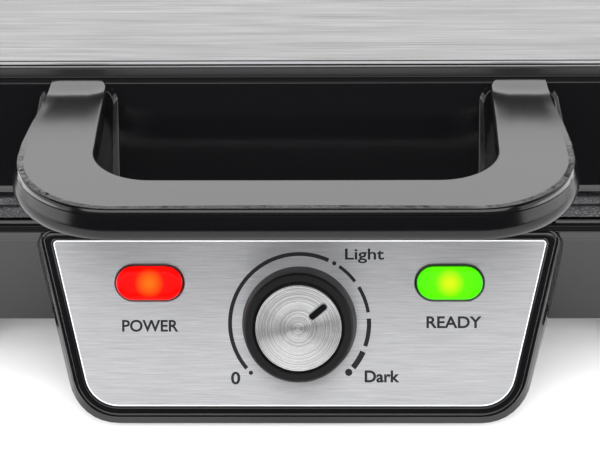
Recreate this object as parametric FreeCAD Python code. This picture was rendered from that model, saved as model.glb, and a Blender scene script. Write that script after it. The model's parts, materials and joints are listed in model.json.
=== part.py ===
import FreeCAD, Part
import math
import os

# A four-slice waffle maker. Millimetres and degrees.
# X runs left to right, Y from the front (negative) to the hinge (positive), Z up.
# The origin is the centre of the whole object's footprint, on the surface it stands on.

V = FreeCAD.Vector

# ---------------------------------------------------------------- driving dimensions

# overall
body_width = 292.0          # tub ledge, left to right
body_depth = 245.0          # tub ledge, front to rear
handle_reach = 70.0         # tub ledge front to the handle's front
barrel_radius = 7.0         # hinge barrels
hinge_setback = 8.0         # tub ledge rear to the hinge axis
wall = 2.5                  # moulded walls

# heights, stacked from the floor
foot_height = 19.0
tub_height = 36.5           # underside to ledge
rim_height = 2.5
rim_gap = 1.7               # rim top to the lower plate
lower_flange = 3.7
parting_gap = 0.4
upper_flange = 2.9
lid_gap = 1.5               # upper plate to the lid's lip
lip_height = 2.0
face_height = 30.8          # sloping sides of the lid
band_height = 4.0
panel_edge = 2.0
panel_crown = 4.5

# plan insets from the ledge outline
tub_inset = 11.0            # at the underside of the tub
rim_inset = 0.8
plate_inset = 0.8
face_inset = 8.0            # at the top of the lid's sloping sides
band_inset = 11.0
panel_inset = 12.5
ledge_width = 16.0          # ledge and lip, measured inwards
corner_radius = 28.0        # ledge corners in plan
ledge_corner = 8.0          # inner corners of the ledge and lip

# waffle plates
cavity_width = 118.0
cavity_length = 96.0
cavity_depth = 9.0
cavity_spacing = 10.0       # between neighbouring cavities
cavity_draft = 2.0          # taper of a cavity side over its depth
cavity_wall = 2.5
stud_height = 5.5
stud_base = 15.0
stud_draft = 1.5
studs_across = 5
studs_along = 4
plate_boss_radius = 4.0
plate_screw_side = 12.2      # from the plate's side edge
plate_screw_end = 17.2      # from the plate's front or rear edge
plate_screw_radius = 1.75
plate_screw_head = 3.2
plate_screw_bite = 2.2      # depth of the screw in the flange

# heating
heater_radius = 3.25
heater_half_x = 88.0
heater_half_y = 66.0
heater_bend = 14.0
heater_tail = 14.0          # half the space between the two ends
heater_end = 100.0          # from the plate's centre to the ends
clamp_length = 20.0
clamp_width = 12.0
clamp_skin = 1.2
reflector_thickness = 0.8
reflector_rim = 6.0
reflector_margin = 3.0      # past the cavities
fuse_radius = 2.2
fuse_length = 14.0

# control pod
fascia_tilt = 24.25         # from the vertical
fascia_height = 31.0        # centre of the fascia above the floor
fascia_forward = 13.3       # tub ledge front to the fascia's centre
fascia_thickness = 1.0
fascia_top = 25.3           # along the slope from the centre
fascia_bottom = -25.3
fascia_half_top = 75.0
side_slope = 0.23           # narrowing per millimetre down the slope
fascia_corner = 10.5
fascia_clearance = 0.15
frame_margin = 3.5
frame_proud = 0.6
frame_corner = 14.0
pod_floor_gap = 1.5
pod_half_bottom = 78.0      # rear of the pod, at its underside
pod_half_top = 84.0
skirt_height = 4.0
skirt_half_front = 56.0
skirt_half_rear = 76.0
window_half = 45.0          # opening between pod and tub
window_bottom = 26.0
window_top = 48.0

# lamps and lenses
lens_across = 45.4          # from the fascia's centre
lens_up = 12.3
lens_length = 20.4
lens_height = 10.6
lens_proud = 1.8
lens_clearance = 0.1
lens_wall = 1.5
lens_flange = 1.8
lens_flange_rim = 1.8
lamp_radius = 2.6
lamp_length = 7.0
holder_depth = 5.0

# knob and thermostat
knob_radius = 17.5
knob_draft = 1.0
knob_height = 15.5
knob_gap = 0.5              # fascia to knob
knob_fillet = 1.6
cap_radius = 12.8
cap_groove = 0.6
cap_depth = 2.0
cap_proud = 0.7
pointer_length = 6.1
pointer_width = 1.6
pointer_offset = 7.5
pointer_angle = 40.0
pointer_depth = 0.8
shaft_radius = 3.0
shaft_clearance = 0.05
bushing_radius = 4.5
thermostat_radius = 12.0
thermostat_depth = 16.0
bracket_half_x = 20.0
bracket_half_y = 11.0
bracket_thickness = 1.5
shaft_in_knob = 10.0
pod_screw_radius = 1.5
pod_screw_head = 3.0
pod_boss_radius = 3.6
pod_screw_places = [(67.0, 42.0), (61.0, 25.0)]

# handle
handle_droop = 3.0          # degrees below level, towards the front
handle_thickness = 9.2
handle_split = 7.2          # thickness of the lower half
handle_root_inner = 57.0
handle_root_outer = 75.0
handle_outer = 79.5
handle_outer_corner = 30.0
handle_inner_corner = 14.5
handle_bar = 19.0
handle_fillet = 2.6
root_sink = 4.0             # length of leg inside the lid's outline before trimming
handle_screw_radius = 1.75
handle_screw_head = 3.2
handle_screw_length = 16.0
handle_screw_places = [61.5, 70.5]
handle_screw_drop = 1.65    # below the middle of the handle's root
boss_half_inner = 54.5
boss_half_outer = 78.0
boss_half_foot = 86.0
boss_proud = 3.0

# hinge
pin_radius = 3.0
pin_clearance = 0.05
pin_head_radius = 4.6
pin_head = 1.5
lug_centre = 80.0
lug_width = 20.0
ear_width = 6.0
ear_gap = 0.3

# underside and rear
foot_side = 31.0            # from the ledge's side to a foot's centre
foot_end = 33.0             # from the ledge's front or rear to a foot's centre
foot_radius_top = 15.0
foot_radius_bottom = 12.5
pad_radius = 11.0
pad_height = 2.0
pad_recess = 1.0
cover_thickness = 2.5
cover_clearance = 0.3
vent_count = 9
vent_pitch = 8.0
vent_width = 3.0
vent_length = 50.0
post_side = 4.5             # from the tub's lower side to a post's centre
post_end = 62.5             # from the ledge's front or rear to a post's centre
post_radius = 4.0
post_height = 22.0
bottom_screw_radius = 1.5
bottom_screw_head = 3.0
bottom_screw_length = 14.0
gland_across = 60.0
gland_height = 38.0
gland_radius = 8.0
gland_bore = 3.7
gland_flange = 11.0
gland_flange_thickness = 2.5
gland_boss_radius = 13.0
gland_length = 14.0
gland_clearance = 0.3
terminal_length = 30.0
terminal_width = 16.0
terminal_height = 13.0
terminal_bore = 2.0

# ---------------------------------------------------------------- derived places

total_depth = handle_reach + body_depth + hinge_setback + barrel_radius
y_front = handle_reach - total_depth / 2.0
y_rear = y_front + body_depth
y_mid = (y_front + y_rear) / 2.0
half_x = body_width / 2.0

z_tub = foot_height
z_ledge = z_tub + tub_height
z_rim = z_ledge + rim_height
z_lower_bottom = z_rim + rim_gap
z_lower_face = z_lower_bottom + lower_flange
z_upper_face = z_lower_face + parting_gap
z_upper_top = z_upper_face + upper_flange
z_lip = z_upper_top + lid_gap
z_face = z_lip + lip_height
z_shoulder = z_face + face_height
z_band = z_shoulder + band_height
z_panel = z_band + panel_edge

y_hinge = y_rear + hinge_setback
z_hinge = (z_lower_face + z_upper_face) / 2.0

fascia_y = y_front - fascia_forward
slope_sin = math.sin(math.radians(fascia_tilt))
slope_cos = math.cos(math.radians(fascia_tilt))
y_pod_rear = y_front + tub_inset + 0.5
seat_back = -fascia_thickness - wall       # rear of the pod's front wall

# the level handle's front, so that the tipped handle ends at handle_reach
droop = math.radians(handle_droop)
handle_run = (handle_reach + face_inset + handle_fillet * math.sin(droop)) / math.cos(droop)
handle_blank_front = y_front + face_inset - handle_run

cavity_centres = [
    (side_x * (cavity_width + cavity_spacing) / 2.0, side_y * (cavity_length + cavity_spacing) / 2.0)
    for side_x in (-1, 1)
    for side_y in (-1, 1)
]
plate_depth = cavity_depth + cavity_wall


# ---------------------------------------------------------------- helpers

def moved(shape, x=0.0, y=0.0, z=0.0):
    copy = shape.copy()
    copy.translate(V(x, y, z))
    return copy


def box(x0, x1, y0, y1, z0, z1):
    return Part.makeBox(x1 - x0, y1 - y0, z1 - z0, V(x0, y0, z0))


def rod(radius, start, direction, length):
    return Part.makeCylinder(radius, length, start, direction)


def mirrored(shape):
    return shape.mirror(V(0, 0, 0), V(1, 0, 0))


def pair(shape):
    """A shape and its mirror image across the middle plane."""
    return [shape, mirrored(shape)]


def fused(shapes):
    shapes = list(shapes)
    if len(shapes) == 1:
        return shapes[0]
    return shapes[0].multiFuse(shapes[1:]).removeSplitter()


def cut(shape, tools):
    return shape.cut(list(tools))


def rounded_outline(corners):
    """Closed wire through (point, radius) corners in one plane, rounded by tangent arcs."""
    edges = []
    ends = []
    count = len(corners)
    for index in range(count):
        point, radius = corners[index]
        to_last = (corners[index - 1][0] - point).normalize()
        to_next = (corners[(index + 1) % count][0] - point).normalize()
        half_angle = to_last.getAngle(to_next) / 2.0
        tangent = radius / math.tan(half_angle)
        centre = point + (to_last + to_next).normalize() * (radius / math.sin(half_angle))
        middle = centre + (point - centre).normalize() * radius
        ends.append((point + to_last * tangent, middle, point + to_next * tangent))
    for index in range(count):
        first, middle, last = ends[index]
        following = ends[(index + 1) % count][0]
        edges.append(Part.Arc(first, middle, last).toShape())
        edges.append(Part.LineSegment(last, following).toShape())
    return Part.Wire(edges)


def plan_outline(inset, z, radius=None):
    """The body's rounded rectangle, inset from the ledge outline."""
    x = half_x - inset
    front = y_front + inset
    rear = y_rear - inset
    if radius is None:
        radius = corner_radius - inset * 0.5
    corners = [(V(-x, front, z), radius), (V(x, front, z), radius), (V(x, rear, z), radius)]
    corners.append((V(-x, rear, z), radius))
    return rounded_outline(corners)


def body_layer(bottom, top, radius=None):
    """Solid between two plan outlines, each given as (inset, z)."""
    wires = [plan_outline(inset, z, radius) for inset, z in (bottom, top)]
    return Part.makeLoft(wires, True, True)


def rectangle_wire(half_width, half_length, z):
    points = [V(-half_width, -half_length, z), V(half_width, -half_length, z)]
    points += [V(half_width, half_length, z), V(-half_width, half_length, z)]
    return Part.makePolygon(points + points[:1])


def on_fascia(shape):
    """Moves a shape from the fascia's own plane (X across, Y up the slope, Z outwards) to its place."""
    turn = FreeCAD.Rotation(V(1, 0, 0), 90.0 - fascia_tilt)
    copy = shape.copy()
    copy.Placement = FreeCAD.Placement(V(0, fascia_y, fascia_height), turn).multiply(copy.Placement)
    return copy


def trapezoid(half_top, half_bottom, bottom, top, corner, top_corner, inset=0.0):
    """Outline of the pod or fascia in its own plane, wider at the top."""
    corners = [(V(-half_bottom + inset, bottom + inset, 0), corner - inset * 0.6)]
    corners.append((V(half_bottom - inset, bottom + inset, 0), corner - inset * 0.6))
    corners.append((V(half_top - inset, top - inset, 0), top_corner))
    corners.append((V(-half_top + inset, top - inset, 0), top_corner))
    return rounded_outline(corners)


def stadium(length, height, z0, z1, x=0.0, y=0.0):
    """Prism with two round ends, standing on the fascia's plane."""
    radius = height / 2.0
    flat = length / 2.0 - radius
    lower = Part.LineSegment(V(-flat, -radius, z0), V(flat, -radius, z0)).toShape()
    right = Part.Arc(V(flat, -radius, z0), V(flat + radius, 0, z0), V(flat, radius, z0)).toShape()
    upper = Part.LineSegment(V(flat, radius, z0), V(-flat, radius, z0)).toShape()
    left = Part.Arc(V(-flat, radius, z0), V(-flat - radius, 0, z0), V(-flat, -radius, z0)).toShape()
    face = Part.Face(Part.Wire([lower, right, upper, left]))
    return moved(face.extrude(V(0, 0, z1 - z0)), x, y)


def side_inset(z):
    """Inset of the lid's sloping outer face at a height."""
    return face_inset * (z - z_face) / face_height


def tub_wall_inset(z):
    """Inset of the tub's sloping outer face at a height."""
    return tub_inset * (z_ledge - z) / tub_height


def fascia_half(up_slope):
    """Half the fascia's width at a place along the slope."""
    return fascia_half_top - side_slope * (fascia_top - up_slope)


# ---------------------------------------------------------------- base

def tub_outer():
    return body_layer((tub_inset, z_tub), (0.0, z_ledge))


def plate_screw_places():
    x = half_x - plate_inset - plate_screw_side
    y = body_depth / 2.0 - plate_inset - plate_screw_end
    return [(sx * x, y_mid + sy * y) for sx in (-1, 1) for sy in (-1, 1)]


def hinge_ears():
    """Two pairs of ears on the tub's rear wall, each pair around a lid lug."""
    start = lug_width / 2.0 + ear_gap
    profile = [
        V(0, y_rear - tub_wall_inset(z_hinge - 26.0) - wall * 0.6, z_hinge - 26.0),
        V(0, y_hinge + barrel_radius, z_hinge - 5.0),
        V(0, y_hinge + barrel_radius * 0.5, z_hinge),
        V(0, y_hinge - barrel_radius, z_hinge),
        V(0, y_rear - 0.5, z_ledge - 0.5),
        V(0, y_rear - wall * 0.6, z_ledge - 3.0),
    ]
    ears = []
    for offset in (-start - ear_width, start):
        face = Part.Face(Part.makePolygon(profile + profile[:1]))
        web = moved(face.extrude(V(ear_width, 0, 0)), lug_centre + offset)
        barrel = rod(barrel_radius, V(lug_centre + offset, y_hinge, z_hinge), V(1, 0, 0), ear_width)
        ears += pair(web.fuse(barrel))
    return ears


def hinge_bore(radius):
    reach = lug_width / 2.0 + ear_gap + ear_width + 5.0
    return pair(rod(radius, V(lug_centre - reach, y_hinge, z_hinge), V(1, 0, 0), 2 * reach))


def post_places():
    x = half_x - tub_inset - post_side
    y = body_depth / 2.0 - post_end
    return [(sx * x, y_mid + sy * y) for sx in (-1, 1) for sy in (-1, 1)]


def pod_screw_line(x, z):
    """Front end and head seat of a pod screw, along Y at one height."""
    seat = y_front + tub_wall_inset(z - pod_screw_head) + wall * 1.1
    return V(x, seat - 12.0, z), seat


def gland_seat():
    """Outer and inner faces of the flat boss that holds the cord gland."""
    outer = y_rear - tub_wall_inset(gland_height) + 1.5
    return outer, outer - gland_length + 2 * gland_flange_thickness


def make_base_shell():
    inner = body_layer((tub_inset + wall, z_tub), (wall, z_ledge - wall))
    shell = tub_outer().cut(inner)
    opening = body_layer((ledge_width, z_ledge - wall), (ledge_width, z_ledge), ledge_corner)
    rim = body_layer((rim_inset, z_ledge), (rim_inset, z_rim))
    rim = rim.cut(body_layer((rim_inset + wall, z_ledge), (rim_inset + wall, z_rim)))
    solids = [shell.cut(opening), rim] + hinge_ears()
    for x, y in plate_screw_places():
        solids.append(rod(plate_boss_radius, V(x, y, z_ledge - wall), V(0, 0, 1), z_lower_bottom - z_ledge + wall))
    for x, y in post_places():
        start = z_tub + cover_thickness
        post = rod(post_radius, V(x, y, start), V(0, 0, 1), post_height)
        solids.append(post.common(tub_outer()))
    outer, inner_face = gland_seat()
    boss = rod(gland_boss_radius, V(gland_across, inner_face, gland_height), V(0, 1, 0), outer - inner_face)
    solids.append(boss)
    shell = fused(solids)
    tools = hinge_bore(pin_radius)
    for x, y in plate_screw_places():
        tools.append(rod(plate_screw_radius, V(x, y, z_ledge - wall), V(0, 0, 1), 20.0))
    for x, y in post_places():
        tools.append(rod(bottom_screw_radius, V(x, y, z_tub), V(0, 0, 1), bottom_screw_length))
    for x, z in pod_screw_places:
        front, seat = pod_screw_line(x, z)
        tools += pair(rod(pod_screw_radius, front, V(0, 1, 0), 30.0))
    tools.append(rod(gland_radius, V(gland_across, inner_face, gland_height), V(0, 1, 0), 30.0))
    tools.append(rod(gland_flange + gland_clearance, V(gland_across, outer, gland_height), V(0, 1, 0), 10.0))
    tools.append(box(-window_half, window_half, y_front, y_pod_rear + wall, window_bottom, window_top))
    return cut(shell, tools)


def make_bottom_cover():
    inset = tub_inset + wall + cover_clearance
    cover = body_layer((inset, z_tub), (inset, z_tub + cover_thickness))
    tools = []
    for index in range(vent_count):
        y = y_mid + (index - (vent_count - 1) / 2.0) * vent_pitch
        for x in (-vent_length * 0.75, vent_length * 0.75):
            slot = stadium(vent_length, vent_width, z_tub, z_tub + cover_thickness, x, y)
            tools.append(slot)
    for x, y in post_places():
        tools.append(rod(bottom_screw_radius, V(x, y, z_tub), V(0, 0, 1), cover_thickness))
    return cut(cover, tools)


def foot_places():
    x = half_x - foot_side
    y = body_depth / 2.0 - foot_end
    return [(sx * x, y_mid + sy * y) for sx in (-1, 1) for sy in (-1, 1)]


def make_feet():
    feet = []
    for x, y in foot_places():
        height = z_tub - pad_height + pad_recess
        foot = Part.makeCone(foot_radius_bottom, foot_radius_top, height, V(x, y, pad_height - pad_recess))
        feet.append(foot.cut(rod(pad_radius, V(x, y, 0), V(0, 0, 1), pad_height)))
    return Part.makeCompound(feet)


def make_foot_pads():
    return Part.makeCompound([rod(pad_radius, V(x, y, 0), V(0, 0, 1), pad_height) for x, y in foot_places()])


def make_bottom_screws():
    screws = []
    for x, y in post_places():
        shank = rod(bottom_screw_radius, V(x, y, z_tub), V(0, 0, 1), bottom_screw_length)
        head = rod(bottom_screw_head, V(x, y, z_tub - 1.6), V(0, 0, 1), 1.6)
        screws.append(shank.fuse(head).removeSplitter())
    return Part.makeCompound(screws)


def pod_outer():
    """Pod casing: lofted from the tilted frame to its rear outline, with a skirt below."""
    bottom = fascia_bottom - frame_margin + 0.3
    top = fascia_top + frame_margin - 0.8
    half_top = fascia_half(top) + frame_margin + 0.5
    half_bottom = fascia_half(bottom) + frame_margin
    front = trapezoid(half_top, half_bottom, bottom, top, frame_corner, 1.5)
    front = on_fascia(moved(front, 0, 0, frame_proud))
    rear_top = z_ledge + 0.8
    rear = pod_rear_outline(0.0, y_pod_rear, pod_floor_gap, rear_top)
    casing = Part.makeLoft([front, rear], True, True)
    y_skirt = fascia_y + fascia_bottom * slope_sin
    wires = []
    for z in (pod_floor_gap, pod_floor_gap + skirt_height):
        corners = [(V(-skirt_half_front, y_skirt, z), 12.0), (V(skirt_half_front, y_skirt, z), 12.0)]
        corners.append((V(skirt_half_rear, y_pod_rear, z), 2.0))
        corners.append((V(-skirt_half_rear, y_pod_rear, z), 2.0))
        wires.append(rounded_outline(corners))
    return casing.fuse(Part.makeLoft(wires, True, True))


def pod_rear_outline(inset, y, bottom, top):
    outline = trapezoid(pod_half_top, pod_half_bottom, bottom, top, 8.0, 1.5, inset)
    outline.Placement = FreeCAD.Placement(V(0, y, 0), FreeCAD.Rotation(V(1, 0, 0), 90.0))
    return outline


def make_control_pod():
    bottom = fascia_bottom - frame_margin + wall + 0.3
    top = fascia_top + frame_margin - wall - 0.8
    half_top = fascia_half(top) + frame_margin - wall
    half_bottom = fascia_half(bottom) + frame_margin - wall
    front = trapezoid(half_top, half_bottom, bottom, top, frame_corner - wall, 1.0)
    front = on_fascia(moved(front, 0, 0, seat_back))
    rear = pod_rear_outline(wall, y_pod_rear - wall, pod_floor_gap, z_ledge + 0.8)
    hollow = Part.makeLoft([front, rear], True, True)
    bosses = []
    for x, z in pod_screw_places:
        seat_line, seat = pod_screw_line(x, z)
        start = V(x, fascia_y + (z - fascia_height) * slope_sin / slope_cos + 2.0, z)
        bosses += pair(rod(pod_boss_radius, start, V(0, 1, 0), seat - start.y))
    pod = pod_outer().cut(hollow.cut(bosses))
    above_ledge = box(-half_x, half_x, y_front, y_rear, z_ledge, z_rim)
    tools = [tub_outer(), above_ledge, on_fascia(fascia_blank(-fascia_thickness, 5.0, fascia_clearance))]
    tools.append(on_fascia(rod(bushing_radius + 0.5, V(0, 0, seat_back - 1.0), V(0, 0, 1), 6.0)))
    for side in (-1, 1):
        grow = 2 * lens_clearance
        hole = stadium(lens_length + grow, lens_height + grow, seat_back - 1, 1, side * lens_across, lens_up)
        tools.append(on_fascia(hole))
    for x, z in pod_screw_places:
        front_end, seat = pod_screw_line(x, z)
        tools += pair(rod(pod_screw_radius, front_end, V(0, 1, 0), 30.0))
    return cut(pod, tools)


def fascia_blank(z0, z1, grow=0.0):
    outline = trapezoid(
        fascia_half_top, fascia_half(fascia_bottom), fascia_bottom, fascia_top, fascia_corner, 1.2, -grow
    )
    return moved(Part.Face(outline).extrude(V(0, 0, z1 - z0)), 0, 0, z0)


def make_control_fascia():
    tools = [rod(bushing_radius + 0.5, V(0, 0, -fascia_thickness), V(0, 0, 1), fascia_thickness)]
    for side in (-1, 1):
        grow = 2 * lens_clearance
        x = side * lens_across
        tools.append(stadium(lens_length + grow, lens_height + grow, -fascia_thickness, 0.0, x, lens_up))
    return on_fascia(cut(fascia_blank(-fascia_thickness, 0.0), tools))


def make_lens(side):
    x = side * lens_across
    lens = stadium(lens_length, lens_height, seat_back, lens_proud, x, lens_up)
    rims = [edge for edge in lens.Edges if abs(edge.BoundBox.ZMin - lens_proud) < 1e-6]
    lens = lens.makeFillet(lens_proud * 0.75, rims)
    grow = 2 * lens_flange_rim
    flange = stadium(lens_length + grow, lens_height + grow, seat_back - lens_flange, seat_back, x, lens_up)
    hollow = stadium(
        lens_length - 2 * lens_wall, lens_height - 2 * lens_wall, seat_back - lens_flange, -0.5, x, lens_up
    )
    return on_fascia(lens.fuse(flange).removeSplitter().cut(hollow))


def lamp_back():
    return seat_back - lens_flange - holder_depth


def make_lamp(side):
    start = V(side * lens_across, lens_up, lamp_back())
    lamp = rod(lamp_radius, start, V(0, 0, 1), lamp_length)
    tip = Part.makeSphere(lamp_radius, start + V(0, 0, lamp_length))
    return on_fascia(lamp.fuse(tip).removeSplitter())


def make_lamp_holders():
    holders = []
    for side in (-1, 1):
        x = side * lens_across
        holder = stadium(lens_length, lens_height, lamp_back(), seat_back - lens_flange, x, lens_up)
        bore = rod(lamp_radius, V(x, lens_up, lamp_back()), V(0, 0, 1), holder_depth)
        holders.append(on_fascia(holder.cut(bore)))
    return Part.makeCompound(holders)


def bracket_back():
    return seat_back - bracket_thickness


def make_thermostat_bracket():
    plate = box(-bracket_half_x, bracket_half_x, -bracket_half_y, bracket_half_y, bracket_back(), seat_back)
    return on_fascia(plate.cut(rod(bushing_radius, V(0, 0, bracket_back()), V(0, 0, 1), bracket_thickness)))


def make_thermostat():
    back = bracket_back()
    housing = rod(thermostat_radius, V(0, 0, back - thermostat_depth), V(0, 0, 1), thermostat_depth)
    bushing = rod(bushing_radius, V(0, 0, back), V(0, 0, 1), bracket_thickness + wall)
    bore = rod(shaft_radius + shaft_clearance, V(0, 0, back - thermostat_depth + 2.0), V(0, 0, 1), 40.0)
    return on_fascia(housing.fuse(bushing).removeSplitter().cut(bore))


def make_thermostat_shaft():
    start = bracket_back() - thermostat_depth + 2.0 + 2 * shaft_clearance
    return on_fascia(rod(shaft_radius, V(0, 0, start), V(0, 0, 1), knob_gap + shaft_in_knob - start))


def make_terminal_block():
    x0 = gland_across - terminal_length / 2.0
    y0 = y_rear - tub_inset - wall - 30.0
    z0 = z_tub + cover_thickness
    block = box(x0, x0 + terminal_length, y0, y0 + terminal_width, z0, z0 + terminal_height)
    tools = []
    for index in range(3):
        x = x0 + terminal_length * (index + 0.5) / 3.0
        tools.append(rod(terminal_bore, V(x, y0, z0 + terminal_height * 0.55), V(0, 1, 0), terminal_width))
    return cut(block, tools)


def make_cord_gland():
    outer, inner_face = gland_seat()
    x = gland_across
    body = rod(gland_radius, V(x, inner_face, gland_height), V(0, 1, 0), outer - inner_face)
    front = rod(gland_flange, V(x, outer, gland_height), V(0, 1, 0), gland_flange_thickness)
    back_start = inner_face - gland_flange_thickness
    back = rod(gland_flange, V(x, back_start, gland_height), V(0, 1, 0), gland_flange_thickness)
    bore = rod(gland_bore, V(x, back_start, gland_height), V(0, 1, 0), gland_length + 5.0)
    return fused([body, front, back]).cut(bore)


def make_pod_screws():
    screws = []
    for x, z in pod_screw_places:
        front, seat = pod_screw_line(x, z)
        shank = rod(pod_screw_radius, front, V(0, 1, 0), seat - front.y)
        head = rod(pod_screw_head, V(x, seat, z), V(0, 1, 0), 2.0)
        screws += pair(shank.fuse(head).removeSplitter())
    return Part.makeCompound(screws)


def make_hinge_pins():
    reach = lug_width / 2.0 + ear_gap + ear_width
    pin = rod(pin_radius, V(lug_centre - reach, y_hinge, z_hinge), V(1, 0, 0), 2 * reach)
    head = rod(pin_head_radius, V(lug_centre + reach, y_hinge, z_hinge), V(1, 0, 0), pin_head)
    return Part.makeCompound(pair(pin.fuse(head).removeSplitter()))


# ---------------------------------------------------------------- waffle plates and heating
# Each plate and its fittings are made face up at z = 0, then placed, or turned over for the lid.

def tapered_block(width, length, narrowing, top, height, x, y):
    wires = [rectangle_wire(width / 2.0, length / 2.0, top)]
    wires.append(rectangle_wire(width / 2.0 - narrowing, length / 2.0 - narrowing, top - height))
    return moved(Part.makeLoft(wires, True, True), x, y)


def stud_places(x, y):
    pitch_x = cavity_width / studs_across
    pitch_y = cavity_length / studs_along
    places = []
    for column in range(studs_across):
        for row in range(studs_along):
            offset_x = (column - (studs_across - 1) / 2.0) * pitch_x
            offset_y = (row - (studs_along - 1) / 2.0) * pitch_y
            places.append((x + offset_x, y + offset_y))
    return places


def waffle_plate(flange):
    outline = moved(plan_outline(plate_inset, 0.0), 0, -y_mid, -flange)
    solids = [Part.Face(outline).extrude(V(0, 0, flange))]
    cavities = []
    for x, y in cavity_centres:
        wide = cavity_width + 2 * cavity_wall
        long = cavity_length + 2 * cavity_wall
        solids.append(tapered_block(wide, long, cavity_draft, 0.0, plate_depth, x, y))
        cavity = tapered_block(cavity_width, cavity_length, cavity_draft, 0.0, cavity_depth, x, y)
        top = stud_base / 2.0 - stud_draft
        studs = []
        for stud_x, stud_y in stud_places(x, y):
            wires = [rectangle_wire(stud_base / 2.0, stud_base / 2.0, -cavity_depth)]
            wires.append(rectangle_wire(top, top, stud_height - cavity_depth))
            studs.append(moved(Part.makeLoft(wires, True, True), stud_x, stud_y))
        cavities.append(cavity.cut(studs))
    plate = fused(solids)
    for x, y in plate_screw_places():
        start = V(x, y - y_mid, -flange)
        cavities.append(rod(plate_screw_radius, start, V(0, 0, 1), plate_screw_bite))
    return cut(plate, cavities)


def heater_path(z):
    """The element's centre line: a loop under the cavities with both ends at the rear."""
    x = heater_half_x
    y = heater_half_y
    tail = heater_tail
    points = [V(-tail, heater_end, z), V(-tail, y, z), V(-x, y, z), V(-x, -y, z), V(x, -y, z)]
    points += [V(x, y, z), V(tail, y, z), V(tail, heater_end, z)]
    edges = []
    last = points[0]
    for index in range(1, len(points) - 1):
        point = points[index]
        back = (points[index - 1] - point).normalize()
        ahead = (points[index + 1] - point).normalize()
        centre = point + (back + ahead) * heater_bend
        middle = centre + (point - centre).normalize() * heater_bend
        start = point + back * heater_bend
        end = point + ahead * heater_bend
        edges.append(Part.LineSegment(last, start).toShape())
        edges.append(Part.Arc(start, middle, end).toShape())
        last = end
    edges.append(Part.LineSegment(last, points[-1]).toShape())
    return Part.Wire(edges)


def heater():
    z = -plate_depth - heater_radius
    ring = Part.Wire(Part.makeCircle(heater_radius, V(-heater_tail, heater_end, z), V(0, 1, 0)))
    return heater_path(z).makePipeShell([ring], True, True)


def heater_clamps():
    """Saddles that hold the element against the plate."""
    z_top = -plate_depth
    z_low = z_top - 2 * heater_radius - clamp_skin
    z_axis = z_top - heater_radius
    saddles = []
    for side in (-1, 1):
        for row in (-1, 1):
            x = side * heater_half_x
            y = row * heater_half_y / 2.0
            half = clamp_width / 2.0
            block = box(x - clamp_length / 2.0, x + clamp_length / 2.0, y - half, y + half, z_low, z_top)
            y0 = y - clamp_width
            y1 = y + clamp_width
            channel = rod(heater_radius, V(x, y0, z_axis), V(0, 1, 0), y1 - y0)
            slot = box(x - heater_radius, x + heater_radius, y0, y1, z_axis, z_top)
            saddles.append(cut(block, [channel, slot]))
    return Part.makeCompound(saddles)


def reflector():
    x = cavity_width + cavity_spacing / 2.0 + reflector_margin
    y = cavity_length + cavity_spacing / 2.0 + reflector_margin
    z = -plate_depth - 2 * heater_radius - clamp_skin
    outer = box(-x, x, -y, y, z - reflector_thickness, z + reflector_rim)
    skin = reflector_thickness
    return outer.cut(box(-x + skin, x - skin, -y + skin, y - skin, z, z + reflector_rim))


def thermal_fuse():
    x = cavity_centres[3][0]
    seat = box(x - 9, x + 9, -6, 6, -plate_depth - 1.2, -plate_depth)
    seat = moved(seat, 0, cavity_length / 4.0)
    axis = V(x - fuse_length / 2.0, cavity_length / 4.0, -plate_depth - 1.2 - fuse_radius * 0.9)
    return seat.fuse(rod(fuse_radius, axis, V(1, 0, 0), fuse_length)).removeSplitter()


def in_base(shape):
    return moved(shape, 0, y_mid, z_lower_face)


def in_lid(shape):
    turned = shape.copy()
    turned.rotate(V(0, 0, 0), V(0, 1, 0), 180.0)
    return moved(turned, 0, y_mid, z_upper_face)


def plate_screws(z_seat, z_end):
    """Screws along Z from the head's seat to the end of the shank, the head behind the seat."""
    up = 1.0 if z_end > z_seat else -1.0
    screws = []
    for x, y in plate_screw_places():
        shank = rod(plate_screw_radius, V(x, y, z_seat), V(0, 0, up), abs(z_end - z_seat))
        head = rod(plate_screw_head, V(x, y, z_seat), V(0, 0, -up), 2.4)
        screws.append(shank.fuse(head).removeSplitter())
    return Part.makeCompound(screws)


# ---------------------------------------------------------------- lid

def lid_outer():
    sides = body_layer((0.0, z_face), (face_inset, z_shoulder))
    lip = body_layer((0.6, z_lip), (0.6, z_face))
    band = body_layer((band_inset, z_shoulder), (band_inset, z_band))
    return fused([sides, lip, band])


def handle_bosses():
    """Raised pads on the lid's front face, under the handle's roots."""
    profile = [
        (V(boss_half_inner, y_front - boss_proud, z_face), 1.0),
        (V(boss_half_foot, y_front - boss_proud, z_face), 3.0),
        (V(boss_half_outer, y_front - boss_proud, z_shoulder - 0.5), 5.0),
        (V(boss_half_inner, y_front - boss_proud, z_shoulder - 0.5), 5.0),
    ]
    pad = Part.Face(rounded_outline(profile)).extrude(V(0, boss_proud + face_inset + wall * 0.5, 0))
    slope = [
        V(0, y_front - 0.8, z_face - 1.0),
        V(0, y_front - 0.8, z_face),
        V(0, y_front + face_inset - boss_proud, z_shoulder),
        V(0, y_front + face_inset + wall * 0.5, z_shoulder),
        V(0, y_front + wall * 0.5, z_face - 1.0),
    ]
    wedge = Part.Face(Part.makePolygon(slope + slope[:1])).extrude(V(body_width, 0, 0))
    return pair(pad.common(wedge))


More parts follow.
